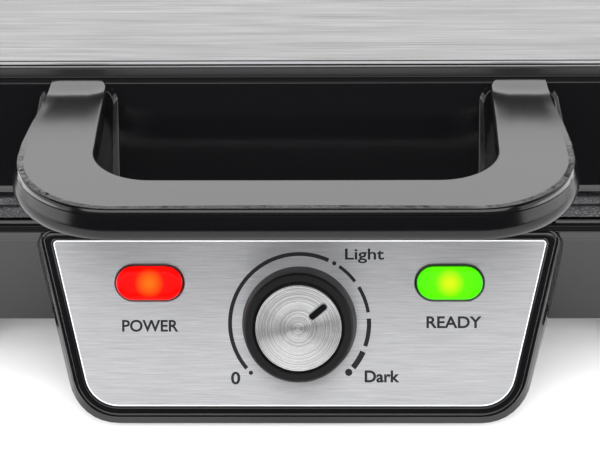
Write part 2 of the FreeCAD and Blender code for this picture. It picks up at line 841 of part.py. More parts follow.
def lid_lugs():
    profile = [
        V(0, y_rear - wall * 0.8, z_face - 1.0),
        V(0, y_rear - wall * 0.8, z_face + 11.0),
        V(0, y_rear - 1.0, z_face + 12.0),
        V(0, y_hinge + barrel_radius * 0.7, z_hinge + barrel_radius * 0.7),
        V(0, y_hinge, z_hinge),
        V(0, y_hinge - barrel_radius * 0.8, z_hinge + 2.5),
    ]
    web = Part.Face(Part.makePolygon(profile + profile[:1])).extrude(V(lug_width, 0, 0))
    start = lug_centre - lug_width / 2.0
    barrel = rod(barrel_radius, V(start, y_hinge, z_hinge), V(1, 0, 0), lug_width)
    return pair(moved(web, start).fuse(barrel))


def handle_screw_line(x):
    """Front end and head seat of a handle screw, inside the lid's front wall."""
    z = handle_axis_height()
    seat = y_front + side_inset(z + handle_screw_head) + wall * 1.2
    return V(x, seat - handle_screw_length, z), seat


def handle_axis_height():
    return z_shoulder - handle_thickness / 2.0 - handle_screw_drop


def make_lid_shell():
    inner = body_layer((wall, z_face + 0.5), (face_inset + wall, z_shoulder - wall))
    roof = body_layer((face_inset + ledge_width, z_shoulder - wall), (face_inset + ledge_width, z_band))
    mouth = body_layer((ledge_width, z_lip), (ledge_width, z_face + 0.5), ledge_corner)
    shell = cut(lid_outer(), [inner, roof, mouth])
    solids = [shell] + handle_bosses() + lid_lugs()
    for x, y in plate_screw_places():
        solids.append(rod(plate_boss_radius, V(x, y, z_upper_top), V(0, 0, 1), z_face + 0.5 - z_upper_top))
    shell = fused(solids)
    tools = hinge_bore(pin_radius + pin_clearance)
    for x, y in plate_screw_places():
        tools.append(rod(plate_screw_radius, V(x, y, z_upper_top), V(0, 0, 1), 10.0))
    for x in handle_screw_places:
        front, seat = handle_screw_line(x)
        tools += pair(rod(handle_screw_radius, front, V(0, 1, 0), handle_screw_length + 4.0))
    return cut(shell, tools)


def panel_block(inset, drop):
    """Rounded rectangle with a crowned top, made by a large sphere."""
    reach = math.hypot(half_x, body_depth / 2.0)
    dome_radius = (reach ** 2 + panel_crown ** 2) / (2 * panel_crown)
    top = z_panel + panel_crown - drop
    block = body_layer((inset, z_band), (inset, top))
    return block.common(Part.makeSphere(dome_radius, V(0, y_mid, top - dome_radius)))


def make_lid_panel():
    skin = 1.2
    return panel_block(panel_inset, 0.0).cut(panel_block(panel_inset + skin, skin))


def handle_blank(z0, z1, inset=0.0):
    """Level U outline between two heights; the legs run back past the lid's face."""
    y_end = y_front + face_inset + root_sink
    front = handle_blank_front
    y_flare = front + handle_outer_corner
    outer = handle_outer - inset
    inner = handle_root_inner + inset
    front_outer = front + inset
    front_inner = front + handle_bar - inset
    root = handle_root_outer - inset
    corners = [
        (V(-outer, front_outer, z0), handle_outer_corner - inset),
        (V(outer, front_outer, z0), handle_outer_corner - inset),
        (V(outer, y_flare + 1.0, z0), 0.8),
        (V(root, y_end, z0), 0.5),
        (V(inner, y_end, z0), 0.5),
        (V(inner, front_inner, z0), handle_inner_corner + inset),
        (V(-inner, front_inner, z0), handle_inner_corner + inset),
        (V(-inner, y_end, z0), 0.5),
        (V(-root, y_end, z0), 0.5),
        (V(-outer, y_flare + 1.0, z0), 0.8),
    ]
    return Part.Face(rounded_outline(corners)).extrude(V(0, 0, z1 - z0))


def drooped(shape):
    """Tips a level handle shape down towards the front about the root's top edge."""
    turned = shape.copy()
    turned.rotate(V(0, y_front + face_inset, z_shoulder), V(1, 0, 0), handle_droop)
    return turned


def handle_part(low, high, edge_at):
    """One half of the handle, with its outer edges rounded, trimmed to the lid."""
    blank = handle_blank(low, high)
    limit = y_front + face_inset
    rims = []
    for edge in blank.Edges:
        flat = edge.BoundBox.ZMax - edge.BoundBox.ZMin < 1e-6
        if flat and abs(edge.BoundBox.ZMin - edge_at) < 1e-6 and edge.BoundBox.YMin < limit:
            rims.append(edge)
    part = drooped(blank.makeFillet(min(handle_fillet, (high - low) * 0.7), rims))
    tools = [lid_outer()] + handle_bosses()
    part = part.cut(tools)
    part = max(part.Solids, key=lambda solid: solid.Volume)
    holes = []
    for x in handle_screw_places:
        front, seat = handle_screw_line(x)
        holes += pair(rod(handle_screw_radius, front, V(0, 1, 0), handle_screw_length))
    return cut(part, holes)


def make_handle_cover():
    low = z_shoulder - handle_thickness + handle_split
    return handle_part(low, z_shoulder, z_shoulder)


def make_handle_base():
    low = z_shoulder - handle_thickness
    return handle_part(low, low + handle_split, low)


def make_handle_screws():
    screws = []
    for x in handle_screw_places:
        front, seat = handle_screw_line(x)
        shank = rod(handle_screw_radius, front, V(0, 1, 0), handle_screw_length)
        head = rod(handle_screw_head, V(x, seat, front.z), V(0, 1, 0), 2.2)
        screws += pair(shank.fuse(head).removeSplitter())
    return Part.makeCompound(screws)


# ---------------------------------------------------------------- knob

def make_knob_body():
    top = knob_gap + knob_height
    body = Part.makeCone(knob_radius, knob_radius - knob_draft, knob_height, V(0, 0, knob_gap))
    rim = [edge for edge in body.Edges if edge.BoundBox.ZMin > top - 1e-6]
    body = body.makeFillet(knob_fillet, rim)
    pocket = rod(cap_radius + cap_groove, V(0, 0, top - cap_depth), V(0, 0, 1), cap_depth)
    bore = rod(shaft_radius, V(0, 0, 0), V(0, 0, 1), knob_gap + shaft_in_knob)
    hub_radius = shaft_radius + wall
    hollow = rod(knob_radius - wall - 1.0, V(0, 0, 0), V(0, 0, 1), knob_gap + shaft_in_knob - 2.0)
    hollow = hollow.cut(rod(hub_radius, V(0, 0, 0), V(0, 0, 1), knob_gap + shaft_in_knob))
    return on_fascia(cut(body, [pocket, bore, hollow]))


def pointer_block(z0, z1):
    block = stadium(pointer_length, pointer_width, z0, z1, pointer_offset)
    block.rotate(V(0, 0, 0), V(0, 0, 1), pointer_angle)
    return block


def cap_top():
    return knob_gap + knob_height + cap_proud


def make_knob_cap():
    cap = rod(cap_radius, V(0, 0, cap_top() - cap_proud - cap_depth), V(0, 0, 1), cap_depth + cap_proud)
    rim = [edge for edge in cap.Edges if edge.BoundBox.ZMin > cap_top() - 1e-6]
    cap = cap.makeFillet(0.4, rim)
    return on_fascia(cap.cut(pointer_block(cap_top() - pointer_depth, cap_top() + 1.0)))


def make_knob_pointer():
    return on_fascia(pointer_block(cap_top() - pointer_depth, cap_top() - 0.1))


# ---------------------------------------------------------------- all nodes

def make_all():
    return {
        "base_shell": make_base_shell(),
        "bottom_cover": make_bottom_cover(),
        "feet": make_feet(),
        "foot_pads": make_foot_pads(),
        "bottom_screws": make_bottom_screws(),
        "control_pod": make_control_pod(),
        "control_fascia": make_control_fascia(),
        "power_lens": make_lens(-1),
        "ready_lens": make_lens(1),
        "power_lamp": make_lamp(-1),
        "ready_lamp": make_lamp(1),
        "lamp_holders": make_lamp_holders(),
        "thermostat": make_thermostat(),
        "thermostat_bracket": make_thermostat_bracket(),
        "thermostat_shaft": make_thermostat_shaft(),
        "terminal_block": make_terminal_block(),
        "cord_gland": make_cord_gland(),
        "pod_screws": make_pod_screws(),
        "hinge_pins": make_hinge_pins(),
        "lower_plate": in_base(waffle_plate(lower_flange)),
        "lower_heater": in_base(heater()),
        "lower_heater_clamps": in_base(heater_clamps()),
        "lower_reflector": in_base(reflector()),
        "lower_thermal_fuse": in_base(thermal_fuse()),
        "lower_plate_screws": plate_screws(z_ledge - wall, z_lower_bottom + plate_screw_bite),
        "lid_shell": make_lid_shell(),
        "lid_panel": make_lid_panel(),
        "handle_cover": make_handle_cover(),
        "handle_base": make_handle_base(),
        "handle_screws": make_handle_screws(),
        "upper_plate": in_lid(waffle_plate(upper_flange)),
        "upper_heater": in_lid(heater()),
        "upper_heater_clamps": in_lid(heater_clamps()),
        "upper_reflector": in_lid(reflector()),
        "upper_thermal_fuse": in_lid(thermal_fuse()),
        "upper_plate_screws": plate_screws(z_face + 0.5, z_upper_top - plate_screw_bite),
        "knob_body": make_knob_body(),
        "knob_cap": make_knob_cap(),
        "knob_pointer": make_knob_pointer(),
    }


os.makedirs("parts", exist_ok=True)
for name, shape in make_all().items():
    shape.exportStep("parts/" + name + ".step")
    print(name, "valid" if shape.isValid() else "INVALID", len(shape.Solids), round(shape.Volume))
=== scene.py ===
import json
import math

import bmesh
import bpy
from mathutils import Matrix, Vector
from mathutils.geometry import tessellate_polygon


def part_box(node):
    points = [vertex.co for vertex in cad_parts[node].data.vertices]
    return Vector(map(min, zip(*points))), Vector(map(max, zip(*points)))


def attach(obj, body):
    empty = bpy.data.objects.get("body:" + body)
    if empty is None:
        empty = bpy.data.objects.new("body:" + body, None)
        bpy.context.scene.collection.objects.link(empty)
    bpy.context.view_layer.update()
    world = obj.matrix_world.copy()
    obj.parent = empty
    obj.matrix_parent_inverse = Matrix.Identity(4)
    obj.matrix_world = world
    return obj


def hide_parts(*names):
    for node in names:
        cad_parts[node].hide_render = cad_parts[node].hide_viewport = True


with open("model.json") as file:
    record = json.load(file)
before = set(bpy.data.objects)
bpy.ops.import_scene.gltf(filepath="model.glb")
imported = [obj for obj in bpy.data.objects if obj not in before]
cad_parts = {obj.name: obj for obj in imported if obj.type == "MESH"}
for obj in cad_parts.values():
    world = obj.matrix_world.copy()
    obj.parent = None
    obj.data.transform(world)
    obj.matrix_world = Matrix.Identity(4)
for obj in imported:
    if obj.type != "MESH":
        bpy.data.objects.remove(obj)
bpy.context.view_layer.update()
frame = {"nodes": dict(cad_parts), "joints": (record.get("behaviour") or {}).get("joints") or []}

# A four-slice waffle maker. Sizes are in millimetres and are turned to metres when a mesh is made.
# X runs left to right, Y from the front to the hinge, Z up.

MM = 0.001


def corners(node):
    """Lowest and highest corner of a CAD node, in millimetres."""
    low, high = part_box(node)
    return low / MM, high / MM


# ---------------------------------------------------------------- places, from the frame

PANEL_INSET = 12.5
panel_low, panel_high = corners("lid_panel")
HALF_X = panel_high.x + PANEL_INSET
Y_FRONT = panel_low.y - PANEL_INSET
Y_REAR = panel_high.y + PANEL_INSET
Y_MID = (Y_FRONT + Y_REAR) / 2.0

LOWER_FLANGE = 3.7
UPPER_FLANGE = 2.9
Z_TUB = corners("base_shell")[0].z
Z_LOWER_FACE = corners("lower_plate")[1].z
Z_UPPER_FACE = corners("upper_plate")[0].z
Z_LEDGE = Z_LOWER_FACE - LOWER_FLANGE - 4.2
Z_LIP = Z_UPPER_FACE + UPPER_FLANGE + 1.5
Z_FACE = Z_LIP + 2.0
Z_BAND = corners("lid_panel")[0].z
Z_SHOULDER = Z_BAND - 4.0
Z_CROWN = panel_high.z

joints = {joint["name"]: joint for joint in frame["joints"]}
FASCIA_CENTRE = Vector(joints["knob_turn"]["pos_m"]) / MM
FASCIA_OUT = Vector(joints["knob_turn"]["axis"]).normalized()
FASCIA_UP = Vector((0.0, FASCIA_OUT.z, -FASCIA_OUT.y)).normalized()
Y_HINGE = joints["lid_hinge"]["pos_m"][1] / MM
Z_HINGE = joints["lid_hinge"]["pos_m"][2] / MM

CORNER_RADIUS = 28.0
TUB_INSET = 11.0
FACE_INSET = 8.0
BAND_INSET = 11.0
LEDGE_WIDTH = 16.0
WALL = 2.5


# ---------------------------------------------------------------- shapes

def turned(x, y, turn):
    """A flat point turned about the origin."""
    return Vector((x * math.cos(turn) - y * math.sin(turn), x * math.sin(turn) + y * math.cos(turn)))


def rounded(points, steps=5, closed=True):
    """A polygon of (x, y, radius) corners as (x, y) points, each corner a tangent arc."""
    result = []
    count = len(points)
    for index, (x, y, radius) in enumerate(points):
        here = Vector((x, y))
        end = not closed and index in (0, count - 1)
        if end or radius <= 0.0:
            result.append(here)
            continue
        back = Vector(points[index - 1][:2]) - here
        ahead = Vector(points[(index + 1) % count][:2]) - here
        half = back.angle(ahead) / 2.0
        reach = min(radius / math.tan(half), back.length * 0.5, ahead.length * 0.5)
        radius = reach * math.tan(half)
        middle = (back.normalized() + ahead.normalized()).normalized()
        centre = here + middle * (radius / math.sin(half))
        first = here + back.normalized() * reach - centre
        last = here + ahead.normalized() * reach - centre
        turn = first.angle_signed(last)
        result += [centre + turned(first.x, first.y, -turn * step / steps) for step in range(steps + 1)]
    return result


def rectangle(x0, y0, x1, y1, radius, steps):
    """A rounded rectangle as (x, y) points, from its low corner."""
    return rounded([(x0, y0, radius), (x1, y0, radius), (x1, y1, radius), (x0, y1, radius)], steps)


def at_height(outline, z):
    """A flat outline as points at one height."""
    return [Vector((point.x, point.y, z)) for point in outline]


def body_ring(inset, z, radius=None):
    """Points round the body's rounded rectangle, inset from the tub's ledge."""
    if radius is None:
        radius = CORNER_RADIUS - 0.5 * inset
    x = HALF_X - inset
    return at_height(rectangle(-x, Y_FRONT + inset, x, Y_REAR - inset, radius, 12), z)


def on_fascia(x, up, out):
    """A place given across, up and out from the fascia's centre."""
    return FASCIA_CENTRE + Vector((x, 0, 0)) + FASCIA_UP * up + FASCIA_OUT * out


def fascia_ring(outline, out):
    """A flat outline laid in the fascia's plane, or out from it."""
    return [on_fascia(point.x, point.y, out) for point in outline]


def place_object(name, data):
    """A new object in the scene, at the origin."""
    item = bpy.data.objects.new(name, data)
    bpy.context.scene.collection.objects.link(item)
    return item


def mesh_of(item):
    """An object's evaluated shape, as new mesh data."""
    return bpy.data.meshes.new_from_object(item.evaluated_get(bpy.context.evaluated_depsgraph_get()))


def curve_mesh(name, data, material):
    """A curve or text as mesh data that wears one material."""
    source = place_object(name + "_outline", data)
    mesh = mesh_of(source)
    bpy.data.objects.remove(source)
    mesh.name = name
    mesh.materials.clear()
    mesh.materials.append(material)
    return mesh


class Mesh:
    """Collects the points and faces of one piece."""

    def __init__(self):
        self.points = []
        self.faces = []
        self.marks = []

    def rings(self, rings, around=True, along=False, mark=0):
        """Faces between matching rings of points: around closes each ring, along joins last to first."""
        start = len(self.points)
        size = len(rings[0])
        for ring in rings:
            self.points += [Vector(point) for point in ring]
        spans = len(rings) if along else len(rings) - 1
        steps = size if around else size - 1
        for span in range(spans):
            here = start + span * size
            there = start + ((span + 1) % len(rings)) * size
            for step in range(steps):
                following = (step + 1) % size
                self.faces.append((here + step, here + following, there + following, there + step))
                self.marks.append(mark)
        return start

    def cap(self, first, size, mark=0):
        """Fills one ring, already added, with a single face."""
        self.faces.append(tuple(range(first, first + size)))
        self.marks.append(mark)

    def solid(self, rings):
        """Rings closed by a face at both ends."""
        first = self.rings(rings)
        size = len(rings[0])
        self.cap(first, size)
        self.cap(first + size * (len(rings) - 1), size)

    def fill(self, loops, mark=0):
        """Fills the flat area between an outline and its holes."""
        start = len(self.points)
        for loop in loops:
            self.points += loop
        for corner in tessellate_polygon(loops):
            self.faces.append(tuple(start + index for index in corner))
            self.marks.append(mark)

    def lathe(self, profile, centre, axis, side, steps=64, mark=0):
        """Turns (radius, height) points about an axis, from the side direction."""
        across = axis.cross(side).normalized()
        rings = []
        for radius, height in profile:
            ring = []
            for step in range(steps):
                angle = 2.0 * math.pi * step / steps
                arm = side * math.cos(angle) + across * math.sin(angle)
                ring.append(centre + axis * height + arm * radius)
            rings.append(ring)
        return self.rings(rings, mark=mark)

    def build(self, name, materials, merge=0.0005):
        """One object with its points merged and its faces turned outwards."""
        data = bpy.data.meshes.new(name)
        data.from_pydata([point * MM for point in self.points], [], self.faces)
        for material in materials:
            data.materials.append(material)
        data.polygons.foreach_set("material_index", self.marks)
        tidy = bmesh.new()
        tidy.from_mesh(data)
        bmesh.ops.remove_doubles(tidy, verts=tidy.verts, dist=merge * MM)
        bmesh.ops.dissolve_degenerate(tidy, edges=tidy.edges, dist=merge * MM)
        bmesh.ops.recalc_face_normals(tidy, faces=tidy.faces)
        tidy.to_mesh(data)
        tidy.free()
        return place_object(name, data)


def finish(piece, body, nodes=(), crease=35.0):
    """Shades a piece, ties it to its body, and hides the CAD nodes that it stands for."""
    piece.data.shade_smooth()
    piece.data.set_sharp_from_angle(angle=math.radians(crease))
    flat = piece.modifiers.new("flat faces", "WEIGHTED_NORMAL")
    flat.keep_sharp = True
    flat.weight = 80
    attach(piece, body)
    if nodes:
        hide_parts(*nodes)
    return piece


# ---------------------------------------------------------------- materials

def colour(code):
    """Linear colour of an sRGB hex code."""
    channels = [int(code[place:place + 2], 16) / 255.0 for place in (1, 3, 5)]
    linear = [c / 12.92 if c <= 0.04045 else ((c + 0.055) / 1.055) ** 2.4 for c in channels]
    return (*linear, 1.0)


def feed(tree, node, inputs):
    """Sets a node's inputs, each to a value or to the socket that feeds it."""
    for name, value in inputs.items():
        socket = node.inputs[name]
        if isinstance(value, bpy.types.NodeSocket):
            tree.links.new(value, socket)
        else:
            socket.default_value = value


def add(tree, kind, inputs=None, **settings):
    """Adds a node with its settings and its inputs."""
    node = tree.nodes.new(kind)
    for name, value in settings.items():
        setattr(node, name, value)
    feed(tree, node, inputs or {})
    return node


def start_material(name):
    material = bpy.data.materials.new(name)
    material.use_nodes = True
    return material, material.node_tree


def shaded(material, inputs):
    """The material, once its shader is fed."""
    feed(material.node_tree, material.node_tree.nodes["Principled BSDF"], inputs)
    return material


def own_place(tree):
    """Places in the piece's own coordinates, in metres."""
    return add(tree, "ShaderNodeTexCoord").outputs["Object"]


def noise(tree, place, scale, detail, roughness=0.5, **settings):
    return add(tree, "ShaderNodeTexNoise", {
        "Vector": place, "Scale": scale, "Detail": detail, "Roughness": roughness}, **settings).outputs["Fac"]


def spread(tree, value, low, high, start=0.0, end=1.0):
    """A value that runs from start to end, mapped to run from low to high."""
    return add(tree, "ShaderNodeMapRange", {
        "Value": value, "From Min": start, "From Max": end, "To Min": low, "To Max": high}).outputs["Result"]


def stretched(tree, place, scale):
    return add(tree, "ShaderNodeMapping", {"Vector": place, "Scale": scale}).outputs["Vector"]


def blend(tree, factor, first, second):
    """Two colours mixed, the second as far as the factor says."""
    mix = add(tree, "ShaderNodeMix", {"Factor": factor, "A": first, "B": second}, data_type="RGBA")
    return mix.outputs["Result"]


def relief(tree, height, strength, distance):
    return add(tree, "ShaderNodeBump", {
        "Height": height, "Strength": strength, "Distance": distance}).outputs["Normal"]


def tangent_of(tree, uv_map):
    return add(tree, "ShaderNodeTangent", direction_type="UV_MAP", uv_map=uv_map).outputs["Tangent"]


def gloss_abs(name, roughness):
    """Injection-moulded ABS from a polished tool: deep black, sharp reflections with a faint waviness."""
    material, tree = start_material(name)
    place = own_place(tree)
    # sink marks and flow waves are about 12 mm long
    waves = noise(tree, place, 80.0, 1.0)
    # polishing haze, drawn at 2 mm, coarser than the real one
    haze = noise(tree, place, 500.0, 3.0)
    return shaded(material, {
        "Base Color": colour("#070708"), "Roughness": spread(tree, haze, roughness * 0.94, roughness * 1.06),
        "IOR": 1.54, "Normal": relief(tree, waves, 0.006, 0.001)})


def satin_abs(name, base, specular, roughness=0.44):
    """Moulded ABS from a blasted tool: soft sheen that hides what it reflects."""
    material, tree = start_material(name)
    # the blast is about 0.15 mm, drawn at 0.4 mm
    grain = noise(tree, own_place(tree), 2500.0, 2.0)
    return shaded(material, {
        "Base Color": colour(base), "Roughness": spread(tree, grain, roughness * 0.86, roughness * 1.14),
        "Specular IOR Level": specular, "Normal": relief(tree, grain, 0.08, 0.0002)})


def matt_abs(name):
    """Moulded ABS from a spark-eroded tool: fine even grain, no clear reflection."""
    material, tree = start_material(name)
    # the grain is about 0.4 mm
    grain = add(tree, "ShaderNodeTexVoronoi", {"Vector": own_place(tree), "Scale": 2500.0}).outputs["Distance"]
    return shaded(material, {
        "Base Color": colour("#161617"), "Roughness": 0.55, "IOR": 1.54,
        "Normal": relief(tree, grain, 0.25, 0.0002)})


def brushed_steel(name, light, dark, roughness, wide, long, contrast, broad_share):
    """Stainless sheet ground with a belt: long fine lines along X that smear reflections across them."""
    material, tree = start_material(name)
    place = own_place(tree)
    # wide and long are the lines' spacing and length in millimetres, both drawn coarser than the real ones
    across = 1000.0 / wide
    lines = noise(tree, stretched(tree, place, (1000.0 / long, across, across)), 1.0, 4.0, 0.65)
    bands = noise(tree, stretched(tree, place, (300.0 / long, across / 9.0, across / 9.0)), 1.0, 2.0)
    both = add(tree, "ShaderNodeMath", {0: bands, 1: broad_share, 2: lines}, operation="MULTIPLY_ADD")
    middle = 0.5 + broad_share / 2.0
    tone = spread(tree, both.outputs["Value"], 0.0, 1.0, middle - 0.24 / contrast, middle + 0.24 / contrast)
    return shaded(material, {
        "Base Color": blend(tree, tone, colour(dark), colour(light)), "Metallic": 1.0,
        "Roughness": spread(tree, lines, roughness * 1.3, roughness * 0.75), "Anisotropic": 0.75,
        "Tangent": tangent_of(tree, LINE_MAP), "Normal": relief(tree, lines, 0.10, 0.0002)})


def turned_aluminium(name):
    """Aluminium faced on a lathe: bright, with rings that smear light into a fan."""
    material, tree = start_material(name)
    uv = add(tree, "ShaderNodeUVMap", uv_map=TURN_MAP).outputs["UV"]
    # rings 0.25 mm apart; v is the radius in metres, u is the turn
    rings = noise(tree, stretched(tree, uv, (0.0, 4000.0, 1.0)), 1.0, 3.0, 0.7, noise_dimensions="2D")
    radius = add(tree, "ShaderNodeSeparateXYZ", {"Vector": uv}).outputs["Y"]
    # the rings' colour is darker towards the middle, within 7 mm of the axis
    middle = spread(tree, radius, 0.75, 0.0, 0.0, 0.007)
    tone = spread(tree, rings, 0.0, 1.0, 0.38, 0.62)
    plate = blend(tree, tone, colour("#909092"), colour("#f0f0f0"))
    worn = blend(tree, spread(tree, tone, 0.0, 0.9), colour("#444446"), colour("#dcdcdc"))
    return shaded(material, {
        "Base Color": blend(tree, middle, plate, worn), "Metallic": 1.0, "Roughness": 0.29,
        "Anisotropic": 0.75, "Anisotropic Rotation": 0.25, "Tangent": tangent_of(tree, TURN_MAP),
        "Normal": relief(tree, rings, 0.5, 0.0002)})


def cast_nonstick(name):
    """Sand-textured cast aluminium under a sprayed non-stick coat: dark, grainy, with bright specks."""
    material, tree = start_material(name)
    place = own_place(tree)
    # cast grain is about 0.6 mm, and specks are 0.3 mm
    grain = noise(tree, place, 1700.0, 4.0)
    specks = add(tree, "ShaderNodeTexVoronoi", {"Vector": place, "Scale": 2600.0}).outputs["Distance"]
    bright = spread(tree, specks, 1.0, 0.0, 0.12, 0.32)
    return shaded(material, {
        "Base Color": blend(tree, bright, colour("#1e1e20"), colour("#8a8a8e")), "Roughness": 0.42, "IOR": 1.4,
        "Metallic": 0.15, "Normal": relief(tree, grain, 0.5, 0.0003)})


def lit_acrylic(name, centre, rim, body, core, strength):
    """Clear dyed acrylic over a lamp: the lamp's glow fades from its core to the dyed rim."""
    material, tree = start_material(name)
    shift = add(tree, "ShaderNodeVectorMath", {0: own_place(tree), 1: centre * MM}, operation="SUBTRACT")
    length = add(tree, "ShaderNodeVectorMath", {0: shift.outputs["Vector"]}, operation="LENGTH")
    # the glow is 9 mm in radius
    reach = add(tree, "ShaderNodeMath", {0: length.outputs["Value"], 1: 110.0}, operation="MULTIPLY")
    ramp = add(tree, "ShaderNodeValToRGB", {"Fac": reach.outputs["Value"]})
    stops = ramp.color_ramp.elements
    stops[0].position = 0.12
    stops[0].color = colour(core)
    stops[1].color = colour(rim)
    stops.new(0.5).color = colour(body)
    return shaded(material, {
        "Base Color": colour(rim), "Roughness": 0.22, "IOR": 1.49, "Specular IOR Level": 0.05,
        "Emission Color": ramp.outputs["Color"], "Emission Strength": strength})


def plain(name, base, roughness, metallic=0.0, grain=900.0, depth=0.1):
    """A small part's finish, with a light grain in its roughness and surface."""
    material, tree = start_material(name)
    speckle = noise(tree, own_place(tree), grain, 3.0)
    return shaded(material, {
        "Base Color": colour(base), "Metallic": metallic,
        "Roughness": spread(tree, speckle, roughness * 0.8, min(1.0, roughness * 1.2)),
        "Normal": relief(tree, speckle, depth, 0.0002)})


# UV maps that say which way brushed lines and turned rings run
LINE_MAP = "lines"
TURN_MAP = "turn"

GLOSS = gloss_abs("gloss black ABS, moulded", 0.09)
HANDLE_GLOSS = gloss_abs("gloss black ABS, handle", 0.13)
SATIN = satin_abs("satin black ABS, knob", "#0a0a0b", 0.16)
HANDLE_SATIN = satin_abs("satin black ABS, handle base", "#050506", 0.25, 0.2)
BAND_SATIN = satin_abs("satin black ABS, lid band", "#181819", 0.4)
MATT = matt_abs("matt black ABS, spark-eroded tool")
TOP_STEEL = brushed_steel("stainless top sheet, belt-brushed", "#cdcdcd", "#a4a4a4", 0.42, 0.7, 40.0, 0.8, 0.2)
FASCIA_STEEL = brushed_steel(
    "stainless fascia, belt-brushed", "#dcdcde", "#a4a4a8", 0.38, 0.2, 12.0, 0.7, 0.06)
EDGE_STEEL = plain("stainless edge, diamond-cut", "#f0f0f2", 0.4, 0.3)
RIM_STEEL = plain("stainless rim, rolled", "#8a8a8c", 0.35, 0.5, depth=0.0)
# near-black steel: painted shade for the groove and a flat strip along the sheet's edge
SEAM_STEEL = plain("stainless edge, painted shade lines", "#141415", 0.6, 0.5, depth=0.0)
TURNED = turned_aluminium("aluminium cap, face-turned")
CAST = cast_nonstick("cast aluminium, non-stick coat")
# flat black, slightly satin
INK = plain("black pad-print ink", "#060607", 0.7, grain=3000.0, depth=0.05)
RUBBER = plain("black rubber, moulded", "#121212", 0.8, grain=1500.0, depth=0.3)
PIN_STEEL = plain("steel, turned", "#8f9092", 0.3, 1.0)
ZINC_STEEL = plain("steel, zinc plated", "#b9bbbd", 0.35, 1.0)
SHEET = plain("aluminised steel sheet, rolled", "#c3c4c6", 0.3, 1.0, grain=300.0)
CERAMIC = plain("white glass-filled moulding", "#e4e0d6", 0.6)
GLASS_BULB = plain("clear lamp glass", "#e8dcc0", 0.1)


# ---------------------------------------------------------------- lid

def steel_map(piece):
    """UV map whose u runs across the brushed lines, so that they smear light the right way."""
    layer = piece.data.uv_layers.new(name=LINE_MAP)
    for loop in piece.data.loops:
        place = piece.data.vertices[loop.vertex_index].co
        layer.data[loop.index].uv = (place.y + place.z, place.x)


def on_band(shell, face):
    """Whether a face is part of the satin band under the steel sheet."""
    places = [shell.points[index] for index in face]
    heights = [place.z for place in places]
    return min(heights) > Z_SHOULDER + 0.55 and max(heights) < Z_BAND


def make_lid_shell():
    """Swept wall: lip, sloping face, shoulder step and upright band, hollow inside."""
    profile = rounded([
        (LEDGE_WIDTH, Z_LIP, 0.3),
        (0.9, Z_LIP, 0.5),
        (0.9, Z_LIP + 1.0, 0.2),
        (0.0, Z_LIP + 1.3, 0.35),
        (0.0, Z_FACE + 0.8, 1.2),
        (FACE_INSET, Z_SHOULDER + 0.2, 0.5),
        (BAND_INSET - 0.3, Z_SHOULDER + 0.4, 0.5),
        (BAND_INSET - 0.05, Z_SHOULDER + 0.6, 0.1),
        (BAND_INSET + 0.1, Z_SHOULDER + 0.75, 0.1),
        (BAND_INSET + 0.15, Z_BAND - 0.5, 0.3),
        (BAND_INSET + 1.0, Z_BAND - 0.5, 0.2),
        (BAND_INSET + 1.1, Z_BAND - 1.2, 0.1),
        (FACE_INSET + LEDGE_WIDTH, Z_BAND - 1.2, 0.3),
        (FACE_INSET + LEDGE_WIDTH, Z_SHOULDER - WALL, 0.3),
        (FACE_INSET + WALL, Z_SHOULDER - WALL, 0.5),
        (WALL, Z_FACE + 0.5, 0.5),
        (LEDGE_WIDTH, Z_FACE + 0.5, 0.3),
    ], 4)
    shell = Mesh()
    shell.rings([body_ring(inset, z) for inset, z in profile], along=True)
    shell.marks = [int(on_band(shell, face)) for face in shell.faces]
    for side in (-1, 1):
        add_handle_boss(shell, side)
        add_lid_lug(shell, side)
    return finish(shell.build("lid_shell_moulding", [GLOSS, BAND_SATIN]), "lid", ["lid_shell"])


BOSS_PROUD = 3.0
# the boss's sides, from its foot to its top: inner edge, outer edge and corner radius
BOSS_ON_FACE = ((53.6, Z_FACE + 1.0, 0.5), (83.2, Z_FACE + 1.0, 0.5),
                (76.4, Z_SHOULDER - 0.5, 5.0), (53.9, Z_SHOULDER - 0.5, 4.6))
BOSS_CREST = ((56.0, Z_FACE + 1.6, 0.5), (80.9, Z_FACE + 1.6, 0.5),
              (75.4, Z_SHOULDER - 1.3, 4.6), (54.9, Z_SHOULDER - 1.3, 4.2))


def face_front(z):
    """Y of the lid's sloping front face at a height."""
    return Y_FRONT + FACE_INSET * (z - Z_FACE) / (Z_SHOULDER - Z_FACE)


def add_handle_boss(shell, side):
    """Raised pad with drafted sides and a rounded top, behind one root of the handle."""
    foot = rounded(BOSS_ON_FACE, 8)
    crest = rounded(BOSS_CREST, 8)
    rings = []
    for share, proud in ((0.0, -0.6), (0.0, 0.0), (0.08, 0.04), (0.2, 0.13),
                         (0.8, 0.84), (0.92, 0.96), (1.1, 1.0)):
        ring = []
        for low, high in zip(foot, crest):
            point = low.lerp(high, share)
            fade = min(1.0, (Z_SHOULDER + 1.0 - point.y) / 10.0)
            ring.append((side * point.x, face_front(point.y) - BOSS_PROUD * proud * fade, point.y))
        rings.append(ring)
    shell.solid(rings)


LUG_CENTRE = 80.0
LUG_WIDTH = 20.0
BARREL = 7.0
PIN_RADIUS = 3.0


def arc_points(centre, radius, start, end, steps):
    """Points on an arc in the YZ plane, angles in degrees from +Y towards +Z."""
    points = []
    for step in range(steps + 1):
        angle = math.radians(start + (end - start) * step / steps)
        points.append((centre[0] + radius * math.cos(angle), centre[1] + radius * math.sin(angle)))
    return points


